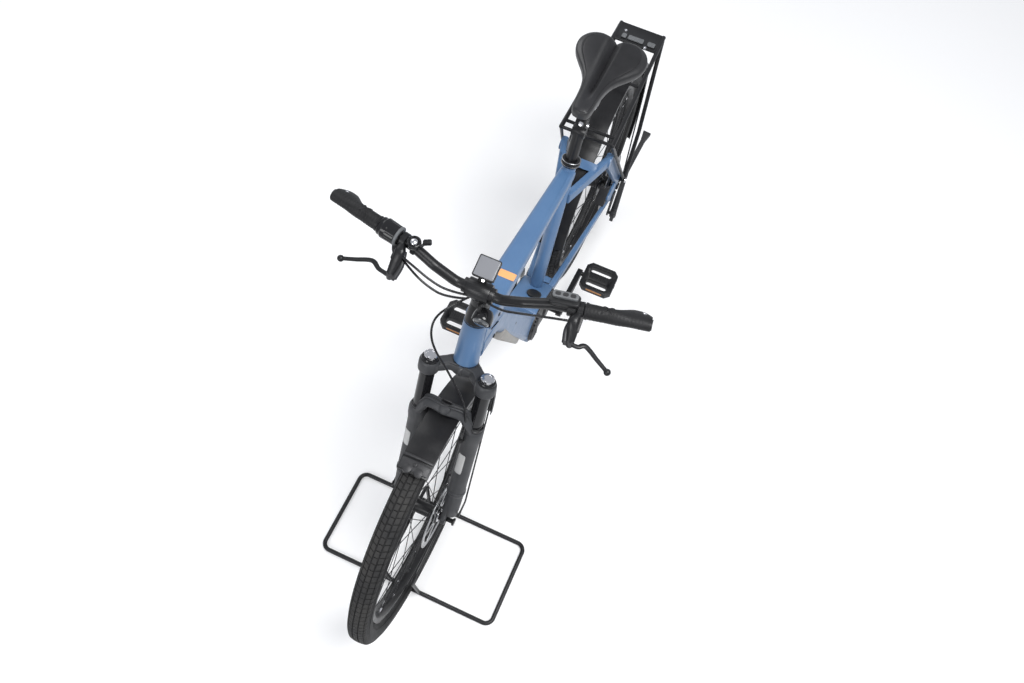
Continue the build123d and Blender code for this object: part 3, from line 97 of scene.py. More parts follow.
placeCamera(cameraAt)
bpy.context.scene.view_settings.view_transform = "Standard"
lampPlaces = dict(
    key=dict(place=(0.5, 1.3, 3.6), target=(0.0, 0.0, 0.5), size=1.8, power=105.0),
    fill=dict(place=(-1.6, -2.4, 2.8), target=(0.0, 0.0, 0.5), size=2.4, power=34.0),
    front=dict(place=(3.2, -0.8, 2.2), target=(0.2, 0.0, 0.5), size=1.6, power=30.0),
)
for lampName, lampValues in lampPlaces.items():
    addLamp(lampName, **lampValues)

# Hoses and the shift cable.
# how far up the steering axis its joint lies, in millimetres
raceUp = 482.0
# the bar's own points above, ahead of and beside the stem clamp's middle, in millimetres
bar = dict(up=706.7, ahead=39.6, rise=(1.0, 27.9, 47.7, 76.0), sweep=(2.6, 16.2, 10.5, -10.1),
           out=(50.2, 98.0, 152.0, 345.0), clear=0.0112)


def unit(v):
    v = np.asarray(v, float)
    return v / np.linalg.norm(v, axis=-1, keepdims=True)


def steerPoint(up, ahead, side=0.0):
    # a point in millimetres along the steering axis, ahead of it and to its left
    return jointPlace["steering"] + (steerUp * (up - raceUp) + steerAhead * ahead + across * side) / 1000


def barPoint(up=0.0, ahead=0.0, side=0.0):
    return steerPoint(bar["up"] + up, bar["ahead"] + ahead, side)


def onBar(side, distance):
    # a point on the bar's outer straight, measured inward from its end in millimetres
    last = barPoint(bar["rise"][3], bar["sweep"][3], side * bar["out"][3])
    before = barPoint(bar["rise"][2], bar["sweep"][2], side * bar["out"][2])
    return last + unit(before - last) * distance / 1000


hose = dict(thick=0.005, order=3, steps=24, roundSteps=6, frontFrom=139.5, frontShift=(28, 3.5, 0),
            rearFrom=176.5, rearShift=(30, -4.5, -2), shiftFrom=160.0, shiftShift=(30, 18, -16),
            shiftPoints=((20, 54, -128), (2, 55, -90), (-14, 44, -54), (-20, 16, -19)),
            downPoints=((664, 14, -20), (652, 50, -46), (628, 78, -68), (592, 90, -66), (556, 92, -48),
                        (520, 88, -18),
                        (480, 82, 8), (440, 76, 32), (400, 73, 48), (360, 72, 53), (330, 70, 53),
                        (309, 67, 52)),
            frontLength=0.2065, rearLength=0.1717, shiftLength=0.1745, downLength=0.4401)
frontRoute = [
    onBar(1, hose["frontFrom"]) + np.array(hose["frontShift"]) / 1000,
    barPoint(42, 42, 172), barPoint(32, 46, 132), barPoint(18, 44, 93), barPoint(0, 34, 56),
    barPoint(-9, 14, 21),
]
rearRoute = [
    onBar(-1, hose["rearFrom"]) + np.array(hose["rearShift"]) / 1000,
    barPoint(30, 46, -134), barPoint(12, 46, -92), barPoint(-4, 36, -54), barPoint(-12, 14, -20),
]


def makeHose(name, route, node):
    # a round hose on one smooth spline, whose control points are the route's own
    curve = bpy.data.curves.new(name, "CURVE")
    curve.dimensions = "3D"
    curve.bevel_depth = hose["thick"] / 2
    curve.bevel_resolution = hose["roundSteps"]
    curve.use_fill_caps = True
    line = curve.splines.new("NURBS")
    line.points.add(len(route) - 1)
    line.points.foreach_set("co", np.column_stack([route, np.ones(len(route))]).ravel())
    line.order_u = hose["order"]
    line.use_endpoint_u = True
    line.resolution_u = hose["steps"]
    piece = bpy.data.objects.new(name, curve)
    bpy.context.scene.collection.objects.link(piece)
    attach(piece, "front_assembly")
    if node:
        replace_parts(piece, node)
    return piece


# the shift cable beside the rear brake's hose
shiftRoute = [onBar(-1, hose["shiftFrom"]) + np.array(hose["shiftShift"]) / 1000]
shiftRoute = shiftRoute + [barPoint(*p) for p in hose["shiftPoints"]]
# the line that leaves the stem's right side, swings out and comes down over the crown to the left leg
downRoute = [steerPoint(u, a, y) for u, a, y in hose["downPoints"]]
hosePieces = [makeHose("frontHose", frontRoute, "hose_front_brake"),
              makeHose("rearHose", rearRoute, "hose_rear_brake"),
              makeHose("shiftHose", shiftRoute, None),
              makeHose("downHose", downRoute, None)]
print("hoses laid")

# Ways to make surfaces.
finishes = {}
# points closer than this, in metres, become one
mergeWithin = 2e-6


def addPiece(name, points, faces, finish, body, sharp=38.0, close=True, second=None, marks=None):
    # one mesh object from an array of points and faces, riding on a body; marked faces take a second finish
    mesh = bpy.data.meshes.new(name)
    mesh.from_pydata(np.asarray(points, float).reshape(-1, 3).tolist(), [], np.asarray(faces).tolist())
    if marks is not None:
        mesh.materials.append(finishes[finish])
        mesh.materials.append(finishes[second])
        mesh.polygons.foreach_set("material_index", np.asarray(marks, np.int32))
    if close:
        work = bmesh.new()
        work.from_mesh(mesh)
        bmesh.ops.remove_doubles(work, verts=work.verts, dist=mergeWithin)
        bmesh.ops.dissolve_degenerate(work, edges=work.edges, dist=mergeWithin / 2)
        bmesh.ops.recalc_face_normals(work, faces=work.faces)
        work.to_mesh(mesh)
        work.free()
    mesh.shade_smooth()
    mesh.set_sharp_from_angle(angle=np.radians(sharp))
    if marks is None:
        mesh.materials.append(finishes[finish])
    piece = bpy.data.objects.new(name, mesh)
    bpy.context.scene.collection.objects.link(piece)
    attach(piece, body)
    return piece


def gridFaces(rows, columns, wrapRows=False, wrapColumns=True):
    # quads between neighbouring rows and columns of a grid of points
    r = np.arange(rows if wrapRows else rows - 1)
    c = np.arange(columns if wrapColumns else columns - 1)
    r, c = np.meshgrid(r, c, indexing="ij")
    r2 = (r + 1) % rows
    c2 = (c + 1) % columns
    quads = np.stack([r * columns + c, r * columns + c2, r2 * columns + c2, r2 * columns + c], axis=-1)
    return quads.reshape(-1, 4)


def manyFaces(copies, perCopy, faces):
    # the same faces for every copy of a shape, each with its own points
    shift = np.arange(copies)[:, None, None] * perCopy
    return (np.asarray(faces)[None] + shift).reshape(-1, np.asarray(faces).shape[1])


def turnedGrid(centres, normals, profile, sides=24):
    # each profile point (distance out, distance along) is carried round the normal at every centre
    centres = np.atleast_2d(np.asarray(centres, float))
    normals = unit(np.atleast_2d(np.asarray(normals, float)) * np.ones_like(centres))
    helper = np.where(np.abs(normals[:, 2:3]) < 0.9, np.array([[0.0, 0.0, 1.0]]), np.array([[1.0, 0.0, 0.0]]))
    first = unit(np.cross(helper, normals))
    second = np.cross(normals, first)
    out = np.array([p[0] for p in profile])
    along = np.array([p[1] for p in profile])
    turn = np.arange(sides) / sides * 2 * np.pi
    ring = first[:, None, :] * np.cos(turn)[None, :, None] + second[:, None, :] * np.sin(turn)[None, :, None]
    points = (
        centres[:, None, None, :]
        + ring[:, None, :, :] * out[None, :, None, None]
        + normals[:, None, None, :] * along[None, :, None, None]
    )
    return points


def turned(name, centres, normals, profile, finish, body, sides=24, sharp=38.0):
    # turned parts: bolts, rings, caps and domes, one mesh for the whole set
    points = turnedGrid(centres, normals, profile, sides)
    count, rows, columns = points.shape[:3]
    faces = manyFaces(count, rows * columns, gridFaces(rows, columns))
    return addPiece(name, points, faces, finish, body, sharp)


def bandRows(outer, width, bevel=0.0010, lip=0.0010):
    # a clamp band's section round the bar: straight inside, bevelled at both outer edges
    inner = bar["clear"]
    return [(inner, 0.0), (outer - bevel, 0.0), (outer, lip), (outer, width - lip), (outer - bevel, width),
            (inner, width)]


# a small socket screw's section: its recess, rim and foot
screwRows = [(0, 0.001), (0.0015, 0.001), (0.0018, 0.003), (0.0034, 0.003), (0.0038, 0.0)]


def smoothPath(points, count, closed=False):
    # a Catmull-Rom curve through the points, evenly counted between them
    p = np.asarray(points, float)
    n = len(p)
    if closed:
        ext = np.vstack([p[-1], p, p[0], p[1]])
        spans = n
    else:
        ext = np.vstack([2 * p[0] - p[1], p, 2 * p[-1] - p[-2]])
        spans = n - 1
    t = np.linspace(0, spans, count, endpoint=not closed)
    i = np.minimum(t.astype(int), spans - 1)
    f = (t - i)[:, None]
    a, b, c, d = ext[i], ext[i + 1], ext[i + 2], ext[i + 3]
    return 0.5 * (2 * b + (c - a) * f + (2 * a - 5 * b + 4 * c - d) * f**2 + (3 * b - a - 3 * c + d) * f**3)


def pathFrames(path, side, closed=False):
    # tangent of the path, and two directions square to it, the first kept near the given side
    tangent = np.gradient(path, axis=0)
    if closed:
        tangent = np.roll(path, -1, axis=0) - np.roll(path, 1, axis=0)
    tangent = unit(tangent)
    side = np.asarray(side, float) * np.ones_like(path)
    first = unit(side - tangent * np.sum(side * tangent, axis=1, keepdims=True))
    return tangent, first, np.cross(tangent, first)


def carried(name, path, halfWide, halfDeep, side, finish, body,
            sides=24, power=1.0, closed=False, sharp=38.0, shift=None, domes=True):
    # a section carried along a path: a superellipse with its own two half sizes at each point
    path = np.asarray(path, float)
    count = len(path)
    wide = np.asarray(halfWide, float) * np.ones(count)
    deep = np.asarray(halfDeep, float) * np.ones(count)
    tangent, first, second = pathFrames(path, side, closed)
    if shift is not None:
        path = path + first * np.asarray(shift[0])[:, None] + second * np.asarray(shift[1])[:, None]
    turn = np.arange(sides) / sides * 2 * np.pi
    c, s = np.cos(turn), np.sin(turn)
    x = np.sign(c) * np.abs(c) ** power
    y = np.sign(s) * np.abs(s) ** power
    points = (
        path[:, None, :]
        + first[:, None, :] * (wide[:, None] * x[None])[..., None]
        + second[:, None, :] * (deep[:, None] * y[None])[..., None]
    )
    if not closed:
        ends = []
        for index, sign in ((0, -1), (-1, 1)):
            centre = path[index]
            steps = ((0.92, 0.12), (0.7, 0.22), (0.35, 0.28), (0.0, 0.3)) if domes else ((0.9, 0.0),
                                                                                         (0.0, 0.0))
            reach = min(wide[index], deep[index])
            rows = [centre + (points[index] - centre) * k + tangent[index] * sign * reach * h for k,
                    h in steps]
            ends.append(rows)
        points = np.concatenate([np.array(ends[0][::-1]), points, np.array(ends[1])])
    return addPiece(name, points, gridFaces(len(points), sides, closed), finish, body, sharp)


def roundedPlate(name, outline, centre, xDir, yDir, thick, edge, finish, body,
                 dish=0.0, sharp=38.0):
    # a closed plate: rows of the outline drawn in from its edge over the rounded rim, shut at the middle
    outline = np.asarray(outline, float)
    middle = outline.mean(0)
    xDir, yDir = unit(xDir), unit(yDir)
    up = np.cross(xDir, yDir)
    reach = np.linalg.norm(outline - middle, axis=1).mean()
    half = thick / 2
    arc = np.radians([0, 30, 60, 90])
    rim = [(1 - edge / reach * (1 - np.cos(a)), half - edge * (1 - np.sin(a))) for a in arc]
    top = [(k, h - dish * (1 - k * k)) for k, h in rim[::-1][:1]]
    rows = [(0.0, half - dish), (0.5, half - dish * 0.75)] + top + rim[::-1][1:]
    rows = rows + [(k, -h) for k, h in rim] + [(0.5, -half), (0.0, -half)]
    k = np.array([r[0] for r in rows])
    h = np.array([r[1] for r in rows])
    flat = middle[None, None] + (outline - middle)[None] * k[:, None, None]
    points = (
        np.asarray(centre, float)
        + flat[..., :1] * xDir
        + flat[..., 1:] * yDir
        + h[:, None, None] * up
    )
    return addPiece(name, points, gridFaces(len(rows), len(outline)), finish, body, sharp)


def roundedOutline(width, depth, corner, perCorner=6):
    # a rectangle with quarter-circle corners, as points round it
    turn = np.linspace(0, np.pi / 2, perCorner)
    out = []
    for index, (sx, sy) in enumerate(((1, 1), (-1, 1), (-1, -1), (1, -1))):
        a = turn + index * np.pi / 2
        cx, cy = sx * (width / 2 - corner), sy * (depth / 2 - corner)
        out.append(np.column_stack([cx + corner * np.cos(a), cy + corner * np.sin(a)]))
    return np.vstack(out)


def rodSet(name, starts, ends, radius, finish, body, sides=8, endRadius=None):
    # many straight rods, each a short tube between its two ends
    starts, ends = np.atleast_2d(starts), np.atleast_2d(ends)
    run = unit(ends - starts)
    helper = np.where(np.abs(run[:, 1:2]) < 0.9, np.array([[0.0, 1.0, 0.0]]), np.array([[1.0, 0.0, 0.0]]))
    first = unit(np.cross(helper, run))
    second = np.cross(run, first)
    turn = np.arange(sides) / sides * 2 * np.pi
    ring = first[:, None] * np.cos(turn)[None, :, None] + second[:, None] * np.sin(turn)[None, :, None]
    last = radius if endRadius is None else endRadius
    rows = [
        starts[:, None] + ring * 0,
        starts[:, None] + ring * radius,
        ends[:, None] + ring * last,
        ends[:, None] + ring * 0,
    ]
    points = np.stack(rows, axis=1)
    faces = manyFaces(len(starts), 4 * sides, gridFaces(4, sides))
    return addPiece(name, points, faces, finish, body)


# Shader groups and finishes.
def newGroup(name, inputs, outputs):
    group = bpy.data.node_groups.new(name, "ShaderNodeTree")
    kinds = dict(vector="NodeSocketVector", colour="NodeSocketColor", value="NodeSocketFloat")
    for label, kind in inputs:
        group.interface.new_socket(name=label, in_out="INPUT", socket_type=kinds[kind])
    for label, kind in outputs:
        group.interface.new_socket(name=label, in_out="OUTPUT", socket_type=kinds[kind])
    start = group.nodes.new("NodeGroupInput")
    end = group.nodes.new("NodeGroupOutput")
    return group, start, end


def makeNoise(group, vector, scale, detail=4.0, rough=0.55):
    noise = group.nodes.new("ShaderNodeTexNoise")
    noise.inputs["Detail"].default_value = detail
    noise.inputs["Roughness"].default_value = rough
    group.links.new(vector, noise.inputs["Vector"])
    if scale is not None:
        group.links.new(scale, noise.inputs["Scale"])
    return noise


def ranged(group, value, low, high, outLow=0.0, outHigh=1.0):
    node = group.nodes.new("ShaderNodeMapRange")
    node.inputs["From Min"].default_value = low
    node.inputs["From Max"].default_value = high
    node.inputs["To Min"].default_value = outLow
    node.inputs["To Max"].default_value = outHigh
    group.links.new(value, node.inputs["Value"])
    return node.outputs["Result"]


def sums(group, kind, a, b):
    node = group.nodes.new("ShaderNodeMath")
    node.operation = kind
    for index, item in enumerate((a, b)):
        if isinstance(item, (int, float)):
            node.inputs[index].default_value = item
        else:
            group.links.new(item, node.inputs[index])
    return node.outputs[0]


def mixColour(group, factor, a, b):
    node = group.nodes.new("ShaderNodeMix")
    node.data_type = "RGBA"
    group.links.new(factor, node.inputs[0])
    group.links.new(a, node.inputs[6])
    group.links.new(b, node.inputs[7])
    return node.outputs[2]


def makeToneGroup():
    # slow cloudy change between two colours, and fine dust over it
    group, start, end = newGroup(
        "toneAndDust",
        [("Vector", "vector"), ("Colour", "colour"), ("Second", "colour"), ("Dust", "colour"),
         ("Scale", "value"), ("Mix", "value"), ("Dust Amount", "value")],
        [("Colour", "colour"), ("Dust Mask", "value")],
    )
    slow = ranged(group, makeNoise(group, start.outputs["Vector"], start.outputs["Scale"]).outputs["Fac"],
                  0.35, 0.65)
    tone = mixColour(group, sums(group, "MULTIPLY", slow, start.outputs["Mix"]),
                     start.outputs["Colour"], start.outputs["Second"])
    fineScale = sums(group, "MULTIPLY", start.outputs["Scale"], 22.0)
    fine = ranged(group, makeNoise(group, start.outputs["Vector"], fineScale, 6.0, 0.7).outputs["Fac"], 0.5,
                  0.75)
    mask = sums(group, "MULTIPLY", sums(group, "ADD", fine, sums(group, "MULTIPLY", slow, 0.3)),
                start.outputs["Dust Amount"])
    group.links.new(mixColour(group, mask, tone, start.outputs["Dust"]), end.inputs["Colour"])
    group.links.new(mask, end.inputs["Dust Mask"])
    return group


def makeRoughGroup():
    # roughness that wanders about its own value and rises where dust lies
    group, start, end = newGroup(
        "roughBreak",
        [("Vector", "vector"), ("Rough", "value"), ("Spread", "value"), ("Scale", "value"),
         ("Dust Mask", "value")],
        [("Rough", "value")],
    )
    noise = makeNoise(group, start.outputs["Vector"], start.outputs["Scale"], 5.0, 0.6)
    wander = sums(group, "MULTIPLY", ranged(group, noise.outputs["Fac"], 0.3, 0.7, -1.0, 1.0),
                  start.outputs["Spread"])
    dusty = sums(group, "MULTIPLY", start.outputs["Dust Mask"], 0.35)
    total = sums(group, "ADD", sums(group, "ADD", start.outputs["Rough"], wander), dusty)
    group.links.new(total, end.inputs["Rough"])
    return group


def makeGrainGroup():
    # fine height: small pebbles from cell distances laid over soft noise, or drawn-out lines
    group, start, end = newGroup(
        "fineGrain",
        [("Vector", "vector"), ("Scale", "value"), ("Pebble", "value")],
        [("Height", "value")],
    )
    cells = group.nodes.new("ShaderNodeTexVoronoi")
    group.links.new(start.outputs["Vector"], cells.inputs["Vector"])
    group.links.new(start.outputs["Scale"], cells.inputs["Scale"])
    noise = makeNoise(group, start.outputs["Vector"], start.outputs["Scale"], 5.0, 0.6)
    pebble = sums(group, "MULTIPLY", cells.outputs["Distance"], start.outputs["Pebble"])
    group.links.new(sums(group, "ADD", noise.outputs["Fac"], pebble), end.inputs["Height"])
    return group


toneGroup = makeToneGroup()
roughGroup = makeRoughGroup()
grainGroup = makeGrainGroup()


def placeGroup(material, group, values):
    node = material.node_tree.nodes.new("ShaderNodeGroup")
    node.node_tree = group
    for label, value in values.items():
        node.inputs[label].default_value = value
    return node


def makeFinish(name, colour, second, rough, metal=0.0, spread=0.06, scale=9.0, mix=1.0, dust=0.05,
               dustColour=(0.32, 0.31, 0.29), grain=900.0, pebble=0.3, bump=0.12, depth=0.0002,
               coat=0.0, coatRough=0.2, stretch=(1.0, 1.0, 1.0), sheen=0.0, specular=0.5):
    material = bpy.data.materials.new(name)
    material.use_nodes = True
    nodes, links = material.node_tree.nodes, material.node_tree.links
    shader = nodes["Principled BSDF"]
    shader.inputs["Metallic"].default_value = metal
    shader.inputs["Coat Weight"].default_value = coat
    shader.inputs["Coat Roughness"].default_value = coatRough
    shader.inputs["Sheen Weight"].default_value = sheen
    shader.inputs["Specular IOR Level"].default_value = specular
    place = nodes.new("ShaderNodeTexCoord")
    stretched = nodes.new("ShaderNodeMapping")
    stretched.inputs["Scale"].default_value = stretch
    links.new(place.outputs["Object"], stretched.inputs["Vector"])
    tone = placeGroup(material, toneGroup, {
        "Colour": (*colour, 1.0), "Second": (*second, 1.0), "Dust": (*dustColour, 1.0),
        "Scale": scale, "Mix": mix, "Dust Amount": dust})
    wander = placeGroup(material, roughGroup, {"Rough": rough, "Spread": spread, "Scale": scale * 6})
    fine = placeGroup(material, grainGroup, {"Scale": grain, "Pebble": pebble})
    height = nodes.new("ShaderNodeBump")
    height.inputs["Strength"].default_value = bump
    height.inputs["Distance"].default_value = depth
    links.new(place.outputs["Object"], tone.inputs["Vector"])
    links.new(place.outputs["Object"], wander.inputs["Vector"])
    links.new(stretched.outputs["Vector"], fine.inputs["Vector"])
    links.new(tone.outputs["Colour"], shader.inputs["Base Color"])
    links.new(tone.outputs["Dust Mask"], wander.inputs["Dust Mask"])
    links.new(wander.outputs["Rough"], shader.inputs["Roughness"])
    links.new(fine.outputs["Height"], height.inputs["Height"])
    links.new(height.outputs["Normal"], shader.inputs["Normal"])
    finishes[name] = material
    return material


finishValues = dict(
    bluePaint=dict(colour=(0.070, 0.150, 0.290), second=(0.082, 0.170, 0.318), rough=0.36, dust=0.03,
                   grain=2400.0, pebble=0.2, bump=0.08, coat=0.30, coatRough=0.30),
    blackPaint=dict(colour=(0.008, 0.008, 0.009), second=(0.013, 0.013, 0.014), rough=0.34, dust=0.015,
                    dustColour=(0.14, 0.14, 0.135), grain=1800.0, bump=0.08, specular=0.35),
    glossBlack=dict(colour=(0.006, 0.006, 0.007), second=(0.009, 0.009, 0.010), rough=0.14, dust=0.008,
                    dustColour=(0.14, 0.14, 0.135), grain=1200.0, bump=0.03, specular=0.45),
    forkGrey=dict(colour=(0.030, 0.031, 0.034), second=(0.042, 0.043, 0.046), rough=0.46, dust=0.04,
                  dustColour=(0.18, 0.18, 0.175), grain=1500.0, pebble=0.5, bump=0.16, specular=0.4),
    castGrey=dict(colour=(0.026, 0.026, 0.028), second=(0.040, 0.040, 0.042), rough=0.46, metal=0.3,
                  dust=0.04,
                  dustColour=(0.16, 0.16, 0.155), grain=1300.0, pebble=0.7, bump=0.2),
    blackPlastic=dict(colour=(0.009, 0.009, 0.010), second=(0.015, 0.015, 0.016), rough=0.44, dust=0.025,
                      dustColour=(0.14, 0.14, 0.135), grain=1600.0, pebble=0.8, bump=0.16, specular=0.35),
    fenderBlack=dict(colour=(0.007, 0.007, 0.008), second=(0.012, 0.012, 0.013), rough=0.38, dust=0.03,
                     scale=6.0,
                     dustColour=(0.14, 0.14, 0.135), grain=1200.0, bump=0.08, specular=0.35),
    paleGrey=dict(colour=(0.50, 0.50, 0.49), second=(0.58, 0.58, 0.57), rough=0.40, metal=0.25, dust=0.05,
                  dustColour=(0.20, 0.19, 0.18), grain=1400.0, bump=0.12),
    batteryGrey=dict(colour=(0.30, 0.285, 0.265), second=(0.36, 0.345, 0.32), rough=0.5, dust=0.06,
                     dustColour=(0.16, 0.15, 0.14), grain=1300.0, pebble=0.6, bump=0.16),
    midGrey=dict(colour=(0.10, 0.105, 0.11), second=(0.13, 0.135, 0.14), rough=0.45, dust=0.04,
                 dustColour=(0.20, 0.20, 0.20), grain=1400.0, bump=0.12),
    rubber=dict(colour=(0.010, 0.010, 0.011), second=(0.017, 0.017, 0.017), rough=0.66, dust=0.05, scale=14.0,
                dustColour=(0.12, 0.118, 0.11), grain=900.0, pebble=0.6, bump=0.25, specular=0.3),
    tread=dict(colour=(0.020, 0.020, 0.021), second=(0.032, 0.031, 0.030), rough=0.72, dust=0.16, scale=18.0,
               dustColour=(0.13, 0.125, 0.115), grain=700.0, pebble=0.8, bump=0.35, depth=0.0004,
               specular=0.3),
    gripRubber=dict(colour=(0.0065, 0.0065, 0.007), second=(0.010, 0.010, 0.011), rough=0.50, dust=0.016,
                    dustColour=(0.14, 0.14, 0.135), scale=12.0, grain=620.0, pebble=1.2, bump=0.45,
                    depth=0.0004,
                    specular=0.35),
    hoseSkin=dict(colour=(0.007, 0.007, 0.008), second=(0.011, 0.011, 0.012), rough=0.24, dust=0.01,
                  dustColour=(0.14, 0.14, 0.135), grain=900.0, bump=0.05, specular=0.4),
    steel=dict(colour=(0.55, 0.56, 0.58), second=(0.63, 0.64, 0.65), rough=0.26, metal=1.0, dust=0.04,
               grain=900.0, bump=0.06),
    brushedSteel=dict(colour=(0.34, 0.35, 0.36), second=(0.46, 0.46, 0.47), rough=0.30, metal=1.0, dust=0.08,
                      dustColour=(0.12, 0.11, 0.10), grain=500.0, bump=0.2, stretch=(1.0, 1.0, 6.0)),
    chainSteel=dict(colour=(0.16, 0.155, 0.15), second=(0.30, 0.29, 0.27), rough=0.30, metal=1.0, dust=0.15,
                    dustColour=(0.05, 0.045, 0.04), grain=800.0, bump=0.15),
    polished=dict(colour=(0.78, 0.78, 0.80), second=(0.72, 0.72, 0.74), rough=0.14, metal=1.0, dust=0.02,
                  grain=600.0, bump=0.03),
    orangeBlank=dict(colour=(0.80, 0.36, 0.13), second=(0.86, 0.42, 0.17), rough=0.42, dust=0.04,
                     grain=700.0, pebble=1.0, bump=0.2),
    amberLens=dict(colour=(0.46, 0.17, 0.03), second=(0.56, 0.22, 0.04), rough=0.2, dust=0.03,
                   grain=520.0, pebble=1.4, bump=0.4, coat=0.6),
    darkLens=dict(colour=(0.030, 0.032, 0.035), second=(0.075, 0.080, 0.085), rough=0.10, dust=0.01,
                  grain=260.0, pebble=1.6, bump=0.4, coat=0.8, coatRough=0.04),
    screenGlass=dict(colour=(0.185, 0.190, 0.205), second=(0.205, 0.210, 0.225), rough=0.12, dust=0.02,
                     dustColour=(0.30, 0.30, 0.30), scale=4.0, grain=900.0, bump=0.02, coat=0.6,
                     coatRough=0.05),
    saddleSkin=dict(colour=(0.010, 0.010, 0.011), second=(0.016, 0.016, 0.018), rough=0.46, dust=0.02,
                    dustColour=(0.13, 0.13, 0.13), scale=10.0, grain=760.0, pebble=1.0, bump=0.30,
                    depth=0.0003,
                    specular=0.4),
    saddleSide=dict(colour=(0.016, 0.016, 0.017), second=(0.023, 0.023, 0.024), rough=0.36, dust=0.02,
                    dustColour=(0.13, 0.13, 0.13), scale=10.0, grain=1500.0, pebble=0.6, bump=0.2,
                    specular=0.5),
)
for finishName, finishFacts in finishValues.items():
    makeFinish(finishName, **finishFacts)
for hosePiece in hosePieces:
    hosePiece.data.materials.append(finishes["hoseSkin"])
print("finishes made:", len(finishes))

# which finish each solid that stays in view takes
solidFinish = dict(
    bluePaint=["motor_shroud", "head_tube", "down_tube", "top_tube", "seat_tube", "chain_stays",
               "seat_stays"],
    castGrey=["kick_bracket", "kick_leg", "motor_unit", "front_caliper", "rear_caliper"],
    blackPaint=["stem", "spacers", "handlebar", "seatpost", "seat_clamp", "crank_set", "rear_rack",
                "wheel_front", "wheel_rear", "wheel_stand", "front_axle", "rear_axle"],
    steel=["saddle_rails"],
    brushedSteel=["rotor_front", "rotor_rear"],
    chainSteel=["rear_cog", "chainring"],
    fenderBlack=["front_fender", "rear_fender"],
    blackPlastic=["charge_port", "pedal_left", "pedal_right", "rear_light"],
    batteryGrey=["battery"],
)
for finishName, nodeNames in solidFinish.items():
    for nodeName in nodeNames:
        solid = frame["nodes"][nodeName]
        solid.data.materials.clear()
        solid.data.materials.append(finishes[finishName])


def softenSolid(solid, width, limit=40.0):
    # joined faces, small rounded edges and even shading on a solid that stays in view
    solid.data.shade_smooth()
    weld = solid.modifiers.new("joined", "WELD")
    weld.merge_threshold = mergeWithin
    edge = solid.modifiers.new("edges", "BEVEL")
    edge.width = width
    edge.segments = 2
    edge.limit_method = "ANGLE"
    edge.angle_limit = np.radians(limit)
    edge.use_clamp_overlap = True
    edge.harden_normals = True


edgeWidths = dict(down_tube=0.0012, head_tube=0.0012, top_tube=0.0012, seat_stays=0.0014, chain_stays=0.0014,
                  motor_unit=0.0010, crank_set=0.0012, battery=0.0015)
plainEdge = 0.0007
wheelEdge = dict(width=0.0003, limit=45.0)
for nodeNames in solidFinish.values():
    for nodeName in nodeNames:
        if nodeName not in ("wheel_front", "wheel_rear"):
            softenSolid(frame["nodes"][nodeName], edgeWidths.get(nodeName, plainEdge))
for nodeName in ("wheel_front", "wheel_rear"):
    softenSolid(frame["nodes"][nodeName], **wheelEdge)

# Tyres, wheel trim, disc bolts and chain.
tyre = dict(radius=0.352, tread=0.0032, blocks=140, blockLong=0.0143, sides=224, ringSteps=180,
            section=((0.0118, 0.2935), (0.0125, 0.2975), (0.0152, 0.3020), (0.0205, 0.3072), (0.0252, 0.3135),
                     (0.0276, 0.3200), (0.0283, 0.3262), (0.0279, 0.3312), (0.0268, 0.3345), (0.0262, 0.3352),
                     (0.0252, 0.3385), (0.0225, 0.3432), (0.0182, 0.3466), (0.0120, 0.3482),
                     (0.0060, 0.3487)),
            wallRings=(("A", 0.0274, 0.3328), ("B", -0.0274, 0.3328), ("C", 0.0228, 0.3098),
                       ("D", -0.0228, 0.3098)),
            blockLevels=((1.0, 1.0, -0.0016), (0.985, 0.965, 0.0024), (0.935, 0.86, 0.0031)),
            rows=((0.0, 0.0056, 0.0, 0.0), (0.0135, 0.0055, 0.3, 0.30), (-0.0135, 0.0055, 0.8, 0.30),
                  (0.0222, 0.0021, 0.5, 0.34), (-0.0222, 0.0021, 0.0, 0.34)))


def wheelPoint(hub, radius, side, turn):
    # a point at a radius and turn about a wheel's axle, and a distance to its left
    radius, side, turn = np.broadcast_arrays(radius, side, turn)
    return np.stack([hub[0] + radius * np.cos(turn), hub[1] + side, hub[2] + radius * np.sin(turn)], axis=-1)


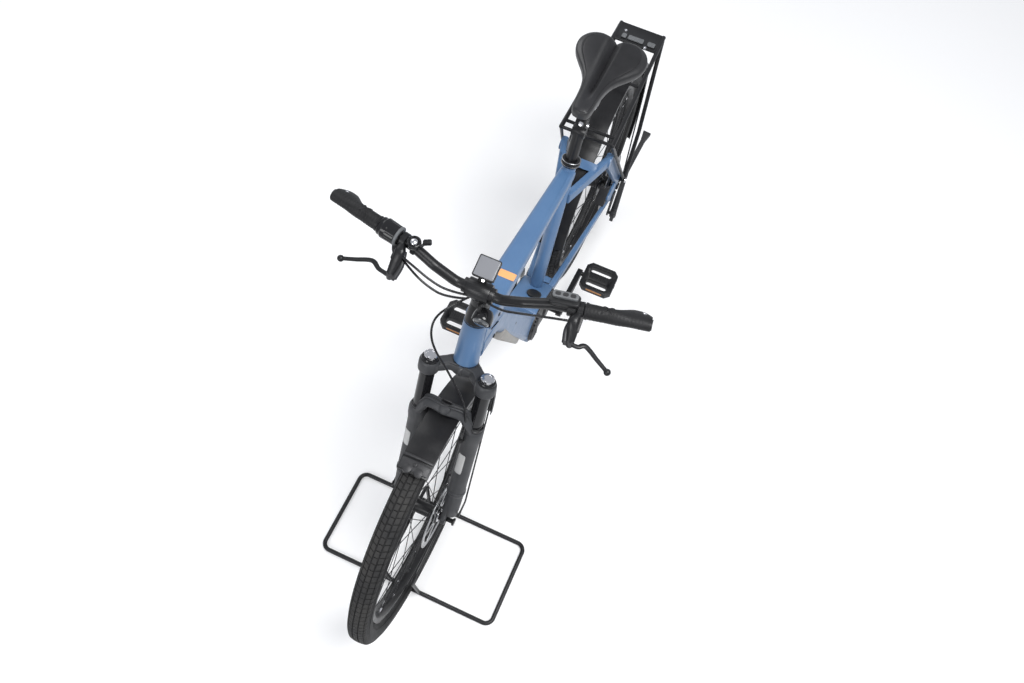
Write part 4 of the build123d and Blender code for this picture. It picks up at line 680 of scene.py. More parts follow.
def makeTyre(name, node, hub, body):
    # casing: half widths and radii of the section, carried round the axle
    base = tyre["radius"] - tyre["tread"]
    right = np.array(tyre["section"])
    left = right[::-1] * (-1, 1)
    profile = np.vstack([right, [(0.0, base)], left])
    turn = np.arange(tyre["sides"]) / tyre["sides"] * 2 * np.pi
    casing = wheelPoint(hub, profile[:, 1][:, None], profile[:, 0][:, None], turn[None])
    faces = gridFaces(len(profile), tyre["sides"], wrapRows=True)
    addPiece(name + "Casing", casing, faces, "rubber", body)
    # tread: five rows of blocks between narrow grooves; each block is a foot, a shoulder and a smaller top
    # that follow the casing's round, and all rows but the middle one are skewed
    outer = right[::-1]
    halfWidths, radii = outer[:outer[:, 0].argmax() + 1].T
    halfWidths, radii = np.append(0.0, halfWidths), np.append(base, radii)
    points = []
    for side, wide, phase, skew in tyre["rows"]:
        turns = (np.arange(tyre["blocks"]) + phase) * 2 * np.pi / tyre["blocks"]
        length = tyre["blockLong"] / tyre["radius"] / 2
        lean = skew * np.sign(side) * length
        for dx, dy, up in tyre["blockLevels"]:
            for sx, sy in ((1, 1), (-1, 1), (-1, -1), (1, -1)):
                place = side + sy * dy * wide
                radius = np.interp(abs(place), halfWidths, radii) + up
                points.append(wheelPoint(hub, radius, place, turns + sx * dx * length + sy * lean))
    rowCount = len(tyre["rows"])
    grid = np.array(points).reshape(rowCount, 12, tyre["blocks"], 3).transpose(0, 2, 1, 3).reshape(-1, 12, 3)
    faces = np.vstack([gridFaces(3, 4), [[11, 10, 9, 8]]])
    blocks = addPiece(name + "Tread", grid, manyFaces(len(grid), 12, faces), "tread", body,
                      sharp=30.0, close=False)
    work = bmesh.new()
    work.from_mesh(blocks.data)
    bmesh.ops.recalc_face_normals(work, faces=work.faces)
    work.to_mesh(blocks.data)
    work.free()
    # thin moulded rings on both walls
    around = np.arange(tyre["ringSteps"]) / tyre["ringSteps"] * 2 * np.pi
    for label, side, ring in tyre["wallRings"]:
        carried(name + "WallRing" + label, wheelPoint(hub, ring, side, around), 0.0011, 0.0009, across,
                "rubber",
                body, sides=6, closed=True)
    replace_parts(bpy.data.objects[name + "Casing"], node)


makeTyre("frontTyre", "tyre_front", frontHub, "front_wheel")
makeTyre("rearTyre", "tyre_rear", rearHub, "rear_wheel")

wheelTrim = dict(spokes=32, rimInner=0.2770, nipple=0.0105, nippleRadius=0.0019, nippleTip=0.0016,
                 headLean=67.5,
                 bead=(0.2966, 0.01655), beadSteps=160, valveAt=(0.2775, 101.0))


def trimWheel(name, hub, body, flange, flangeSide, hubHalf):
    turns = np.arange(wheelTrim["spokes"]) / wheelTrim["spokes"] * 2 * np.pi
    sides = np.where(np.arange(wheelTrim["spokes"]) % 2 == 0, 1, -1)
    outer = wheelPoint(hub, wheelTrim["rimInner"] + 0.001, sides * 0.004, turns)
    inner = wheelPoint(hub, wheelTrim["rimInner"] - wheelTrim["nipple"], sides * 0.0051, turns)
    rodSet(name + "Nipples", outer, inner, wheelTrim["nippleRadius"], "polished", body,
           endRadius=wheelTrim["nippleTip"])
    # spoke heads on the flanges
    lean = np.where(np.arange(wheelTrim["spokes"]) % 4 < 2, 1, -1) * wheelTrim["headLean"]
    heads = wheelPoint(hub, flange - 0.004, sides * flangeSide, turns + np.radians(lean))
    normals = np.stack([sides * 0.0, sides * 1.0, sides * 0.0], axis=-1)
    turned(name + "SpokeHeads", heads, normals,
           [(0, 0.0012), (0.0014, 0.0010), (0.0021, 0.0002), (0.0021, -0.0012)],
           "steel", body, sides=10)
    # rim beads, valve and its cap
    for sign, side in (("Left", 1), ("Right", -1)):
        beadRadius, beadSide = wheelTrim["bead"]
        around = np.arange(wheelTrim["beadSteps"]) / wheelTrim["beadSteps"] * 2 * np.pi
        path = wheelPoint(hub, beadRadius, side * beadSide, around)
        carried(name + "Bead" + sign, path, 0.0009, 0.0007, across, "glossBlack", body,
                sides=6, closed=True)
    valveRadius, valveTurn = wheelTrim["valveAt"]
    valve = wheelPoint(hub, valveRadius, 0.0, np.radians(valveTurn))
    inward = unit(hub - valve)
    turned(name + "Valve", valve, inward,
           [(0, 0.036), (0.0016, 0.0355), (0.0022, 0.034), (0.0022, 0.022), (0.0017, 0.0215), (0.0017, 0.004),
            (0.0042, 0.0035), (0.0042, 0.001), (0.0, 0.0)], "polished", body, sides=14)
    # hub end rings, bright against the black shell
    for sign in (1, -1):
        end = hub + across * sign * (hubHalf - 0.0042)
        turned(name + ("HubRingLeft" if sign > 0 else "HubRingRight"), end, across * sign,
               [(0.0085, 0.0002), (0.0168, 0.0002), (0.0176, -0.0008), (0.0176, -0.0034), (0.0085, -0.0034)],
               "polished", body, sides=40)


trimWheel("frontWheel", frontHub, "front_wheel", flange=0.029, flangeSide=0.0296, hubHalf=0.050)
trimWheel("rearWheel", rearHub, "rear_wheel", flange=0.050, flangeSide=0.0341, hubHalf=0.074)


discBolt = dict(count=6, phase=0.3, circle=0.022, out=0.0009, frontSide=0.0395, rearSide=0.060)


def discBolts(name, hub, body, side):
    turns = np.arange(discBolt["count"]) / discBolt["count"] * 2 * np.pi + discBolt["phase"]
    turned(name, wheelPoint(hub, discBolt["circle"], side + discBolt["out"], turns), across,
           [(0, 0.0014), (0.0016, 0.0014), (0.0018, 0.0022), (0.0036, 0.0020), (0.0040, 0.0)],
           "blackPaint", body, sides=18)


discBolts("frontDiscBolts", frontHub, "front_wheel", discBolt["frontSide"])
discBolts("rearDiscBolts", rearHub, "rear_wheel", discBolt["rearSide"])

chain = dict(side=-0.057, ring=0.081, cog=0.042, pitch=0.0127, plate=0.0011, roller=0.0036, pin=0.0018,
             halfLong=0.0104, halfTall=0.0038, corners=16, innerOut=0.0026, outerOut=0.0037, pinOut=0.0040,
             rollerIn=0.0022)


def chainLoop():
    # the chain's line round the two sprockets, two arcs and the two straight runs that touch both, and how
    # far along it each of its points lies
    line = rearHub - crankCentre
    span = np.hypot(line[0], line[2])
    base = np.arctan2(line[2], line[0])
    spread = np.arccos((chain["ring"] - chain["cog"]) / span)
    ringArc = np.linspace(base + spread, base - spread + 2 * np.pi, 400)
    cogArc = np.linspace(base - spread, base + spread, 300)
    ringPart = np.stack([crankCentre[0] + chain["ring"] * np.cos(ringArc),
                         crankCentre[2] + chain["ring"] * np.sin(ringArc)], axis=-1)
    cogPart = np.stack([rearHub[0] + chain["cog"] * np.cos(cogArc),
                        rearHub[2] + chain["cog"] * np.sin(cogArc)], axis=-1)
    loop = np.vstack([ringPart, cogPart, ringPart[:1]])
    length = np.concatenate([[0], np.cumsum(np.linalg.norm(np.diff(loop, axis=0), axis=1))])
    return loop, length

def makeChain():
    loop, length = chainLoop()
    links = int(round(length[-1] / chain["pitch"] / 2) * 2)
    at = np.linspace(0, length[-1], links, endpoint=False)
    pins = np.column_stack([np.interp(at, length, loop[:, i]) for i in range(2)])
    nextPins = np.roll(pins, -1, axis=0)
    middle = (pins + nextPins) / 2
    run = unit(nextPins - pins)
    up = np.stack([-run[:, 1], run[:, 0]], axis=-1)
    # side plate outline: two round ends with a drawn-in waist
    corners = chain["corners"]
    turn = np.linspace(0, 2 * np.pi, corners, endpoint=False)
    px = chain["halfLong"] * np.sign(np.cos(turn)) * np.abs(np.cos(turn)) ** 0.75
    py = chain["halfTall"] * np.sign(np.sin(turn)) * np.abs(np.sin(turn)) ** 0.8
    py = py * (0.80 + 0.20 * (np.abs(px) / chain["halfLong"]) ** 2)
    out = np.where(np.arange(links) % 2 == 0, chain["innerOut"], chain["outerOut"])
    shapes = []
    for sign in (1, -1):
        rows = []
        for k, h in ((0.0, 0.0), (0.9, 0.0), (1.0, 0.0002), (1.0, 0.0009), (0.9, chain["plate"]),
                     (0.0, chain["plate"])):
            flat = (middle[:, None] + run[:, None] * (px * k)[None, :, None] + up[:, None] * (py * k)[None, :,
                                                                                                      None])
            side = chain["side"] + sign * (out[:, None] - chain["plate"] + h) * np.ones(corners)[None]
            rows.append(np.stack([flat[..., 0], side, flat[..., 1]], axis=-1))
        shapes.append(np.stack(rows, axis=1))
    points = np.vstack(shapes)
    faces = manyFaces(len(points), 6 * corners, gridFaces(6, corners))
    plates = addPiece("chainPlates", points, faces, "chainSteel", "frame", sharp=32.0)
    low = np.column_stack([pins[:, 0], np.full(links, chain["side"] - chain["pinOut"]), pins[:, 1]])
    high = np.column_stack([pins[:, 0], np.full(links, chain["side"] + chain["pinOut"]), pins[:, 1]])
    rodSet("chainPins", low, high, chain["pin"], "steel", "frame", sides=8)
    low[:, 1] += chain["rollerIn"]
    high[:, 1] -= chain["rollerIn"]
    rodSet("chainRollers", low, high, chain["roller"], "chainSteel", "frame", sides=12)
    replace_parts(plates, "chain")


makeChain()
print("wheels and chain made")

# Grips, levers and the other controls.
grip = dict(longLength=132.0, shortLength=117.0, front=0.0160, rear=0.0156, wing=0.0210, height=0.0158,
            rows=72, sides=48, ribs=17)


def makeGrip(name, side, length):
    # section: a circle that spreads backward into a wing toward the outer end, pinched where the thumb goes
    t = np.linspace(0, 1, grip["rows"])
    start, end = onBar(side, length - 3), onBar(side, 3.5)
    path = start[None] + (end - start)[None] * t[:, None]
    axis = unit(end - start)
    back = unit(-steerAhead - axis * np.dot(-steerAhead, axis))
    up = np.cross(axis, back) * side
    swell = np.clip((t - 0.40) / 0.34, 0, 1)
    swell = swell * swell * (3 - 2 * swell)
    ease = 1 - 0.34 * np.clip((t - 0.80) / 0.20, 0, 1) ** 2
    turn = np.arange(grip["sides"]) / grip["sides"] * 2 * np.pi
    c, s = np.cos(turn)[None], np.sin(turn)[None]
    neck = np.exp(-((t - 0.36) / 0.12) ** 2)
    front = grip["front"] - 0.0012 * swell - 0.0018 * neck
    rear = (grip["rear"] + grip["wing"] * swell) * ease - 0.0016 * neck
    along = np.where(c > 0, rear[:, None] * c, front[:, None] * c)
    height = (grip["height"] - 0.0030 * swell)[:,
                                               None] * s * (1 - 0.30 * swell[:, None] * np.clip(c, 0, 1) ** 2)
    ribs = 1 + 0.018 * (np.sin(t * 2 * np.pi * grip["ribs"])[:, None] > 0.2) * (c < 0.2) * (t[:, None] < 0.9)
    points = path[:, None] + back * (along * ribs)[..., None] + up * (height * ribs)[..., None]
    ends = []
    for row, sign in ((0, -1), (-1, 1)):
        centre = path[row] + back * (rear[row] - front[row]) / 2 * 0.6
        ends.append([centre + (points[row] - centre) * k + axis * sign * h
                     for k, h in ((0.96, 0.0010), (0.88, 0.0016), (0.6, 0.0018), (0.0, 0.0018))])
    points = np.concatenate([np.array(ends[0][::-1]), points, np.array(ends[1])])
    body = addPiece(name + "Rubber", points, gridFaces(len(points), grip["sides"]), "gripRubber",
                    "front_assembly",
                    sharp=50.0)
    # raised crossing creases on the thumb side
    for label, skew in (("CreaseA", 1), ("CreaseB", -1)):
        u = np.linspace(-1, 1, 24)
        line = start + (end - start) * (0.33 + 0.085 * u[:, None] * skew)
        around = np.radians(90 + 48 * u)
        ring = back[None] * np.cos(around)[:, None] * 0.0150 + up[None] * np.sin(around)[:, None] * 0.0159
        carried(name + label, line + ring, 0.0016, 0.0013, axis, "gripRubber", "front_assembly",
                sides=8)
    # clamp rings at both ends, and a bolt in the outer one
    ringRows = bandRows(0.0172, 0.0060, bevel=0.0007, lip=0.0008)
    turned(name + "InnerRing", onBar(side, length), axis, ringRows, "blackPaint", "front_assembly",
           40)
    outerRows = [(0.0, 0.0012), (0.006, 0.0012), (0.0075, 0.0002), (0.0118, 0.0), (0.0118, -0.002),
                 (0.0, -0.002)]
    turned(name + "EndPlug", onBar(side, 2.0), axis, outerRows, "brushedSteel", "front_assembly",
           32)
    boltAt = onBar(side, 19.0) + back * 0.0185 + up * 0.0092
    turned(name + "Bolt", boltAt, up, [(0, 0.0006), (0.0018, 0.0006), (0.0020, 0.0018), (0.0036, 0.0016),
                                       (0.0042, 0.0002)],
           "polished", "front_assembly", 20)
    return body


leftGrip = makeGrip("leftGrip", 1, grip["longLength"])
makeGrip("rightGrip", -1, grip["shortLength"])
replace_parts(leftGrip, "grips")

lever = dict(clamp=13.0, left=133.0, right=170.0)


def makeLever(name, side, near, root, elbow, tip):
    middle = onBar(side, near + lever["clamp"] / 2)
    axis = unit(onBar(side, 0) - onBar(side, 100))
    pivot = middle + np.array(root) / 1000
    bend = pivot + np.array(elbow) / 1000
    end = bend + np.array(tip) / 1000
    # clamp band, then the reservoir, a flattened tapering body
    turned(name + "Clamp", middle - axis * 0.0062, axis,
           bandRows(0.0168, 0.0124), "blackPaint", "front_assembly", 40)
    inboard = axis * -0.020
    bodyPath = smoothPath([middle + np.array([0.010, 0, 0.002]),
                           middle + np.array([0.028, 0, -0.001]) + inboard * 0.2,
                           pivot * 0.6 + middle * 0.4 + inboard * 0.1 + np.array([0.004, 0, 0.004]), pivot],
                          26)
    body = carried(name + "Body", bodyPath, np.interp(np.linspace(0, 1, 26), [0, 0.3, 0.7, 1],
                                                      [0.0075, 0.0115, 0.0105, 0.0078]),
                   np.interp(np.linspace(0, 1, 26), [0, 0.3, 0.7, 1], [0.0075, 0.0100, 0.0085, 0.0060]),
                   across, "blackPaint",
                   "front_assembly", sides=24, power=0.8)
    turned(name + "Pivot", pivot - np.array([0, 0, 0.0072]), (0, 0, 1),
           [(0, 0.0), (0.0062, 0.0), (0.0068, 0.0006), (0.0068, 0.0138), (0.0060, 0.0146), (0.0030, 0.0146),
            (0.0026, 0.0136), (0.0, 0.0136)], "castGrey", "front_assembly", 24)
    bladePath = smoothPath([pivot, pivot * 0.45 + bend * 0.55 + np.array([0.004, 0, 0]), bend,
                            bend * 0.45 + end * 0.55, end], 60)
    t = np.linspace(0, 1, 60)
    wide = np.interp(t, [0, 0.15, 0.4, 0.85, 1], [0.0052, 0.0044, 0.0052, 0.0042, 0.0042])
    deep = np.interp(t, [0, 0.3, 1], [0.0048, 0.0036, 0.0038])
    carried(name + "Blade", bladePath, deep, wide, (0, 0, 1), "blackPaint", "front_assembly",
            sides=20, power=0.85)
    ball = np.radians(np.linspace(90, -90, 11))
    turned(name + "Ball", end, unit(end - bend), [(0.0072 * np.cos(a), 0.0072 * np.sin(a)) for a in ball],
           "blackPaint", "front_assembly", 24)
    run = unit(pivot - middle)
    roundedPlate(name + "Reservoir", roundedOutline(0.034, 0.0200, 0.0050),
                 middle + run * 0.033 + np.array([0.0, 0, 0.0088]),
                 run, (0, 1, 0), 0.0090, 0.0022, "blackPaint", "front_assembly")
    hinge = smoothPath([pivot + inboard * 0.55, pivot * 0.62 + middle * 0.38 + inboard * 0.75,
                        middle + run * 0.020 + inboard * 0.5], 18)
    carried(name + "Hinge", hinge, 0.0056, 0.0050, (0, 0, 1), "castGrey", "front_assembly",
            sides=16, power=0.7)
    carried(name + "HingeArm", smoothPath([pivot, pivot + inboard * 0.3, pivot + inboard * 0.6], 8), 0.0058,
            0.0048,
            (0, 0, 1), "castGrey", "front_assembly", sides=16, power=0.7)
    capAt = middle + run * 0.027 + np.array([0.0, 0, 0.0136])
    turned(name + "CapBolts", [capAt, capAt + run * 0.013], (0, 0, 1),
           [(0, 0.0006), (0.0011, 0.0006), (0.0013, 0.0014), (0.0024, 0.0012), (0.0028, 0.0)],
           "polished", "front_assembly", 14)
    turned(name + "ClampBolt", middle + np.array([0.0135, 0, -0.0125]), (0.2, 0, -1),
           screwRows, "steel", "front_assembly", 16)
    return body


leftLever = makeLever("leftLever", 1, lever["left"], (64, 5, -26), (-8, 31, -1), (30, 57, -6))
makeLever("rightLever", -1, lever["right"], (69, 0, -33), (-16, -47, 0), (24, -58, 2))
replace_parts(leftLever, "brake_levers")

shifter = dict(near=118.0, length=50.0, rows=60, sides=72, grooves=12)


def makeShifter():
    # a stepped drum with shallow grooves where the fingers hold it, a grey ring and the cable's box
    start, end = onBar(-1, shifter["near"] + shifter["length"]), onBar(-1, shifter["near"])
    axis = unit(end - start)
    t = np.linspace(0, 1, shifter["rows"])
    step = np.interp(t, [0, 0.03, 0.14, 0.17, 0.78, 0.84, 0.97, 1],
                     [0.0155, 0.0178, 0.0182, 0.0212, 0.0222, 0.0200, 0.0196, 0.0180])
    turn = np.arange(shifter["sides"]) / shifter["sides"] * 2 * np.pi
    ribbed = ((t > 0.17) & (t < 0.61))[:, None]
    radius = step[:, None] * (1 - 0.035 * ribbed * (np.sin(turn * shifter["grooves"])[None] > 0.55))
    grid = turnedGrid(start, axis, [(1, 0)] * shifter["rows"], shifter["sides"])[0]
    direction = grid - start
    points = start + axis * (t * shifter["length"] / 1000)[:, None, None] + direction * radius[..., None]
    bore = direction[:1] * bar["clear"]
    points = np.concatenate([start + bore, points, end + bore])
    drum = addPiece("twistDrum", points, gridFaces(len(points), shifter["sides"]), "glossBlack",
                    "front_assembly",
                    sharp=32.0)
    band = onBar(-1, shifter["near"] + 46.5)
    turned("twistWindow", band, axis, [(0.0150, -0.001), (0.0205, -0.001), (0.0218, 0.0), (0.0220, 0.0036),
                                       (0.0210, 0.0048), (0.0150, 0.0050)],
           "midGrey", "front_assembly", 48)
    housing = onBar(-1, shifter["near"] + 42.0) + np.array([0.012, 0, -0.010])
    carried("twistCableBox", smoothPath([housing, housing + np.array([0.014, 0.006, -0.004]),
                                         housing + np.array([0.022, 0.022, -0.006])], 20),
            np.linspace(0.0078, 0.0042, 20), np.linspace(0.0066, 0.0040, 20), steerUp, "blackPlastic",
            "front_assembly", sides=20, power=0.8)
    return drum


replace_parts(makeShifter(), "twist_shifter")


def makeRemote():
    # clamp ring, black base and a grey cap with three rounded keys on it
    ringAt = onBar(1, 165.5)
    axis = unit(onBar(1, 0) - onBar(1, 100))
    ring = turned("remoteRing", ringAt, axis,
                  bandRows(0.0168, 0.017), "blackPlastic", "front_assembly", 40)
    middle = onBar(1, 173.0)
    back = unit(np.cross(axis, (0, 0, 1)))
    back = back if back[0] < 0 else -back
    top = np.cross(axis, back)
    top = top if top[2] > 0 else -top
    roundedPlate("remoteBase", roundedOutline(0.060, 0.027, 0.007), middle + back * 0.004 + top * 0.0180,
                 axis, back, 0.0120, 0.0030, "blackPlastic", "front_assembly")
    roundedPlate("remoteCap", roundedOutline(0.052, 0.0150, 0.0050), middle + back * 0.0085 + top * 0.0262,
                 axis, back, 0.0080, 0.0024, "midGrey", "front_assembly")
    for label, shift in (("Up", 0.0150), ("Middle", 0.0), ("Down", -0.0150)):
        roundedPlate("remoteKey" + label, roundedOutline(0.0115, 0.0085, 0.0034),
                     middle + back * 0.0085 + top * 0.0300 + axis * shift,
                     axis, back, 0.0014, 0.0006, "castGrey", "front_assembly", dish=0.0003)
    return ring


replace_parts(makeRemote(), "remote")


def makeBell():
    # strap, a dark ring with a bright dome in it, and a ribbed thumb knob on a short arm
    axis = unit(onBar(-1, 0) - onBar(-1, 100))
    near = onBar(-1, 203.0)
    strap = turned("bellStrap", near - axis * 0.0040, axis,
                   bandRows(0.0160, 0.0080, lip=0.0008), "blackPlastic", "front_assembly",
                   40)
    at = near + np.array([0.004, 0, 0.0170])
    turned("bellBody", at, (0, 0, 1),
           [(0.0, -0.006), (0.0100, -0.006), (0.0136, -0.002), (0.0146, 0.0030), (0.0144, 0.0085),
            (0.0136, 0.0102),
            (0.0128, 0.0106), (0.0112, 0.0092), (0.0104, 0.0070), (0.0, 0.0070)],
           "glossBlack", "front_assembly", 48)
    arc = np.radians(np.linspace(90, 0, 12))
    turned("bellDome", at + np.array([0, 0, 0.0062]), (0, 0, 1),
           [(0.0090 * np.cos(a), 0.0075 * np.sin(a)) for a in arc] + [(0.0, 0.0)],
           "polished", "front_assembly", 40)
    knobAt = at + np.array([-0.0105, 0.0175, 0.0030])
    arm = smoothPath([at + np.array([0.002, 0.012, 0.0]), at + np.array([-0.005, 0.0165, 0.0]), knobAt], 14)
    carried("bellArm", arm, 0.0034, 0.0028, (0, 0, 1), "blackPlastic", "front_assembly",
            sides=14)
    rows = [(0.0, -0.0030), (0.0040, -0.0028), (0.0056, -0.0012)]
    for index in range(5):
        rows += [(0.0068, 0.0004 + index * 0.0026), (0.0059, 0.0017 + index * 0.0026)]
    rows += [(0.0050, 0.0140), (0.0, 0.0146)]
    turned("bellKnob", knobAt, (-0.45, 1, 0.15), rows, "blackPlastic", "front_assembly", 20)
    return strap


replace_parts(makeBell(), "bell")


def makeDisplay():
    # a thin dark body with a rounded rim, a grey glass on it and a bracket down to the stem
    at = barPoint(49.4, -11.6, 2.0)
    tilt = np.radians(18)
    xDir = np.array([np.cos(tilt), 0, -np.sin(tilt)])
    body = roundedPlate("displayBody", roundedOutline(0.0468, 0.0480, 0.0036), at, xDir, (0, 1, 0), 0.0086,
                        0.0016,
                        "blackPlastic", "front_assembly")
    up = np.cross(xDir, (0, 1, 0))
    roundedPlate("displayGlass", roundedOutline(0.0418, 0.0430, 0.0022), at + up * 0.0042, xDir, (0, 1, 0),
                 0.0012, 0.0004, "screenGlass", "front_assembly")
    holder = smoothPath([barPoint(19.0, -4.8, 0), barPoint(32.0, -7.0, 1.0), at - up * 0.004], 16)
    carried("displayHolder", holder, 0.0095, 0.0058, across, "blackPlastic", "front_assembly",
            sides=20, power=0.7)
    turned("displayBolt", barPoint(30.0, 2.5, 4.0), unit(steerAhead + steerUp * 0.3),
           screwRows, "polished", "front_assembly", 16)
    return body


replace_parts(makeDisplay(), "display")


def makeHeadlight():
    at = barPoint(-52.4, 8.2, 24.0)
    forward = unit(np.array([1, 0.05, -0.12]))
    shell = [(0.0, -0.016), (0.010, -0.0158), (0.0165, -0.0135), (0.0200, -0.008), (0.0216, 0.0),
             (0.0219, 0.008),
             (0.0219, 0.0128), (0.0210, 0.0140), (0.0186, 0.0140), (0.0180, 0.0128), (0.0, 0.0122)]
    lamp = turned("headlightShell", at, forward, shell, "glossBlack", "front_assembly", 48)
    lens = [(0.0181, 0.0130), (0.0172, 0.0150), (0.0140, 0.0168), (0.0080, 0.0180), (0.0, 0.0184)]
    turned("headlightLens", at, forward, lens, "darkLens", "front_assembly",
           48)
    arm = smoothPath([at + np.array([0, -0.008, 0.018]), at + np.array([-0.002, -0.010, 0.026]),
                      barPoint(-21.5, 1.0, 12.0)], 18)
    carried("headlightArm", arm, 0.0062, 0.0032, (1, 0, 0), "blackPlastic", "front_assembly",
            sides=18, power=0.7)
    return lamp


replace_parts(makeHeadlight(), "headlight")
print("cockpit made")

# Saddle.
saddle = dict(
    outline=((4.0, 0.0), (-1.0, 12.0), (-7.0, 27.0), (-9.5, 44.0), (-5.0, 62.0), (6.0, 77.0), (24.0, 88.0),
             (46.0, 91.0),
             (70.0, 84.0), (94.0, 68.0), (118.0, 50.0), (144.0, 37.0), (174.0, 30.0), (206.0, 27.0),
             (234.0, 25.5),
             (250.0, 22.0), (259.0, 15.5), (263.0, 0.0)),
    drop=(19.0, 12.0), depth=(43.0, 30.0), channel=10.0, ridge=3.0, seam=0.80, columns=220, back=0.008,
    long=0.267, spine=(0.046, 0.246), stitch=0.0030, stitchEvery=0.0046)


def saddleForm(k, across1, along, low, high):
    # height of the cover: it dips in the middle and falls at the nose, with a V channel between two ridges
    # and an edge that rolls over
    x = along / saddle["long"]
    lift = -0.0062 * np.sin(np.clip((x - 0.02) / 0.9, 0, 1) * np.pi) ** 1.4
    lift = lift - 0.0040 * np.clip((x - 0.72) / 0.28, 0, 1) ** 2
    fade = np.clip((0.86 - x) / 0.20, 0, 1) * np.clip((x + 0.02) / 0.06, 0, 1)
    spread = 0.0150 - 0.0050 * x
    y = np.abs(across1)
    channel = np.clip(1 - y / spread, 0, 1) ** 1.25 * saddle["channel"] / 1000 * fade
    ridge = np.exp(-((y - spread * 1.25) / 0.0080) ** 2) * saddle["ridge"] / 1000 * fade
    drop = (low + (high - low) * np.clip(x, 0, 1)) / 1000
    roll = drop * (1 - (1 - np.clip(k, 0, 1) ** 2.5) ** (1 / 2.5))
    return lift - 0.0010 - channel + ridge - roll


def makeSaddle():
    lowCorner, highCorner = (np.array(c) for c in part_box("saddle"))
    tail, top = lowCorner[0] - saddle["back"], highCorner[2]
    half = smoothPath(np.column_stack([np.array(saddle["outline"]), np.zeros(len(saddle["outline"]))]),
                      saddle["columns"] // 2 + 1)[:, :2] / 1000
    half[0, 1] = half[-1, 1] = 0.0
    outline = np.vstack([half, (half * (1, -1))[-2:0:-1]])
    spine = np.clip(outline[:, 0], *saddle["spine"])
    kTop = np.concatenate([np.linspace(0, 0.76, 26), [0.785, 0.80, 0.815], np.linspace(0.84, 1.0, 12) ** 0.9])
    kTop = np.unique(np.clip(kTop, 0, 1))
    along = spine[None] + (outline[:, 0] - spine)[None] * kTop[:, None]
    side = outline[:, 1][None] * kTop[:, None]
    height = saddleForm(kTop[:, None], side, along, *saddle["drop"])
    seam = np.exp(-((kTop[:, None] - saddle["seam"]) / 0.011) ** 2) * 0.0011
    height = height - seam
    rowsTop = np.stack([tail + along, side, top + height], axis=-1)
    # the side wall goes down and slightly in, turns under a lip and shuts below as a shallow hollow
    edge = rowsTop[-1]
    x = outline[:, 0] / saddle["long"]
    floor = top - (saddle["depth"][0] + (saddle["depth"][1] - saddle["depth"][0]) * x) / 1000
    rows = []
    for inward, fall in ((1.002, 0.18), (0.998, 0.40), (0.985, 0.66), (0.962, 0.88), (0.945, 0.97),
                         (0.925, 1.0),
                         (0.900, 0.97), (0.86, 0.80), (0.70, 0.62), (0.4, 0.56), (0.0, 0.54)):
        a = spine + (outline[:, 0] - spine) * inward
        rows.append(np.column_stack([tail + a, outline[:, 1] * inward,
                                     edge[:, 2] + (floor - edge[:, 2]) * fall]))
    points = np.concatenate([rowsTop, np.array(rows)])
    count, columns = points.shape[:2]
    faces = gridFaces(count, columns)
    marks = np.repeat((np.arange(count - 1) >= np.searchsorted(kTop, saddle["seam"])).astype(int), columns)
    piece = addPiece("saddleCover", points, faces, "saddleSkin", "frame", sharp=70.0,
                     second="saddleSide", marks=marks)
    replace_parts(piece, "saddle")
    # stitches: short threads that lie in the seam
    row = np.abs(kTop - saddle["seam"]).argmin()
    line = rowsTop[row]
    step = np.linalg.norm(np.roll(line, -1, axis=0) - line, axis=1)
    length = np.concatenate([[0], np.cumsum(step)])
    at = np.arange(0, length[-1], saddle["stitchEvery"])
    closed = np.vstack([line, line[:1]])
    start = np.column_stack([np.interp(at, length, closed[:, i]) for i in range(3)])
    end = np.column_stack([np.interp(at + saddle["stitch"], length, closed[:, i]) for i in range(3)])
    rodSet("saddleStitches", start + (0, 0, 0.0006), end + (0, 0, 0.0006), 0.00045, "rubber", "frame",
           sides=6)


makeSaddle()
print("saddle made")

# Fork.
fork = dict(ahead=43.0, spacing=68.0, tubeRadius=0.0172, archLean=34.0, guideRing=0.0212, drawn=0.3712)


def legPoint(up, side, ahead=0.0, out=0.0):
    return steerPoint(up, fork["ahead"] + ahead, side * (fork["spacing"] + out))


def corneredPath(points, count, ease):
    # straight runs between the points, evenly counted, with each corner eased by a moving average
    p = np.asarray(points, float)
    length = np.concatenate([[0], np.cumsum(np.linalg.norm(np.diff(p, axis=0), axis=1))])
    at = np.linspace(0, length[-1], count)
    line = np.column_stack([np.interp(at, length, p[:, i]) for i in range(3)])
    kernel = np.ones(2 * ease + 1) / (2 * ease + 1)
    padded = np.vstack([2 * line[0] - line[ease:0:-1], line, 2 * line[-1] - line[-2:-ease - 2:-1]])
    return np.column_stack([np.convolve(padded[:, i], kernel, "valid") for i in range(3)])


def sleevePatch(name, side, low, high, middle, half, radius, thick, finish, corner=0.25):
    # a thin rounded patch wrapped on the leg: rows of its outline drawn in from edge to middle, both faces
    turn = np.linspace(0, 2 * np.pi, 48, endpoint=False)
    px = np.sign(np.cos(turn)) * np.abs(np.cos(turn)) ** corner
    py = np.sign(np.sin(turn)) * np.abs(np.sin(turn)) ** corner
    rows = []
    for k, h in ((0.0, thick), (0.5, thick), (0.94, thick), (1.0, thick * 0.4), (1.0, -0.0004),
                 (0.5, -0.0004), (0.0, -0.0004)):
        a = np.radians(middle + half * px * k)
        up = (low + high) / 2 + (high - low) / 2 * py * k
        centre = legPoint(0, side)[None] + steerUp[None] * (up[:, None] / 1000)
        direction = steerAhead[None] * np.cos(a)[:, None] + across[None] * np.sin(a)[:, None]
        rows.append(centre + direction * (radius + h))
    return addPiece(name, np.array(rows), gridFaces(len(rows), 48), finish, "front_assembly",
                    sharp=50.0)


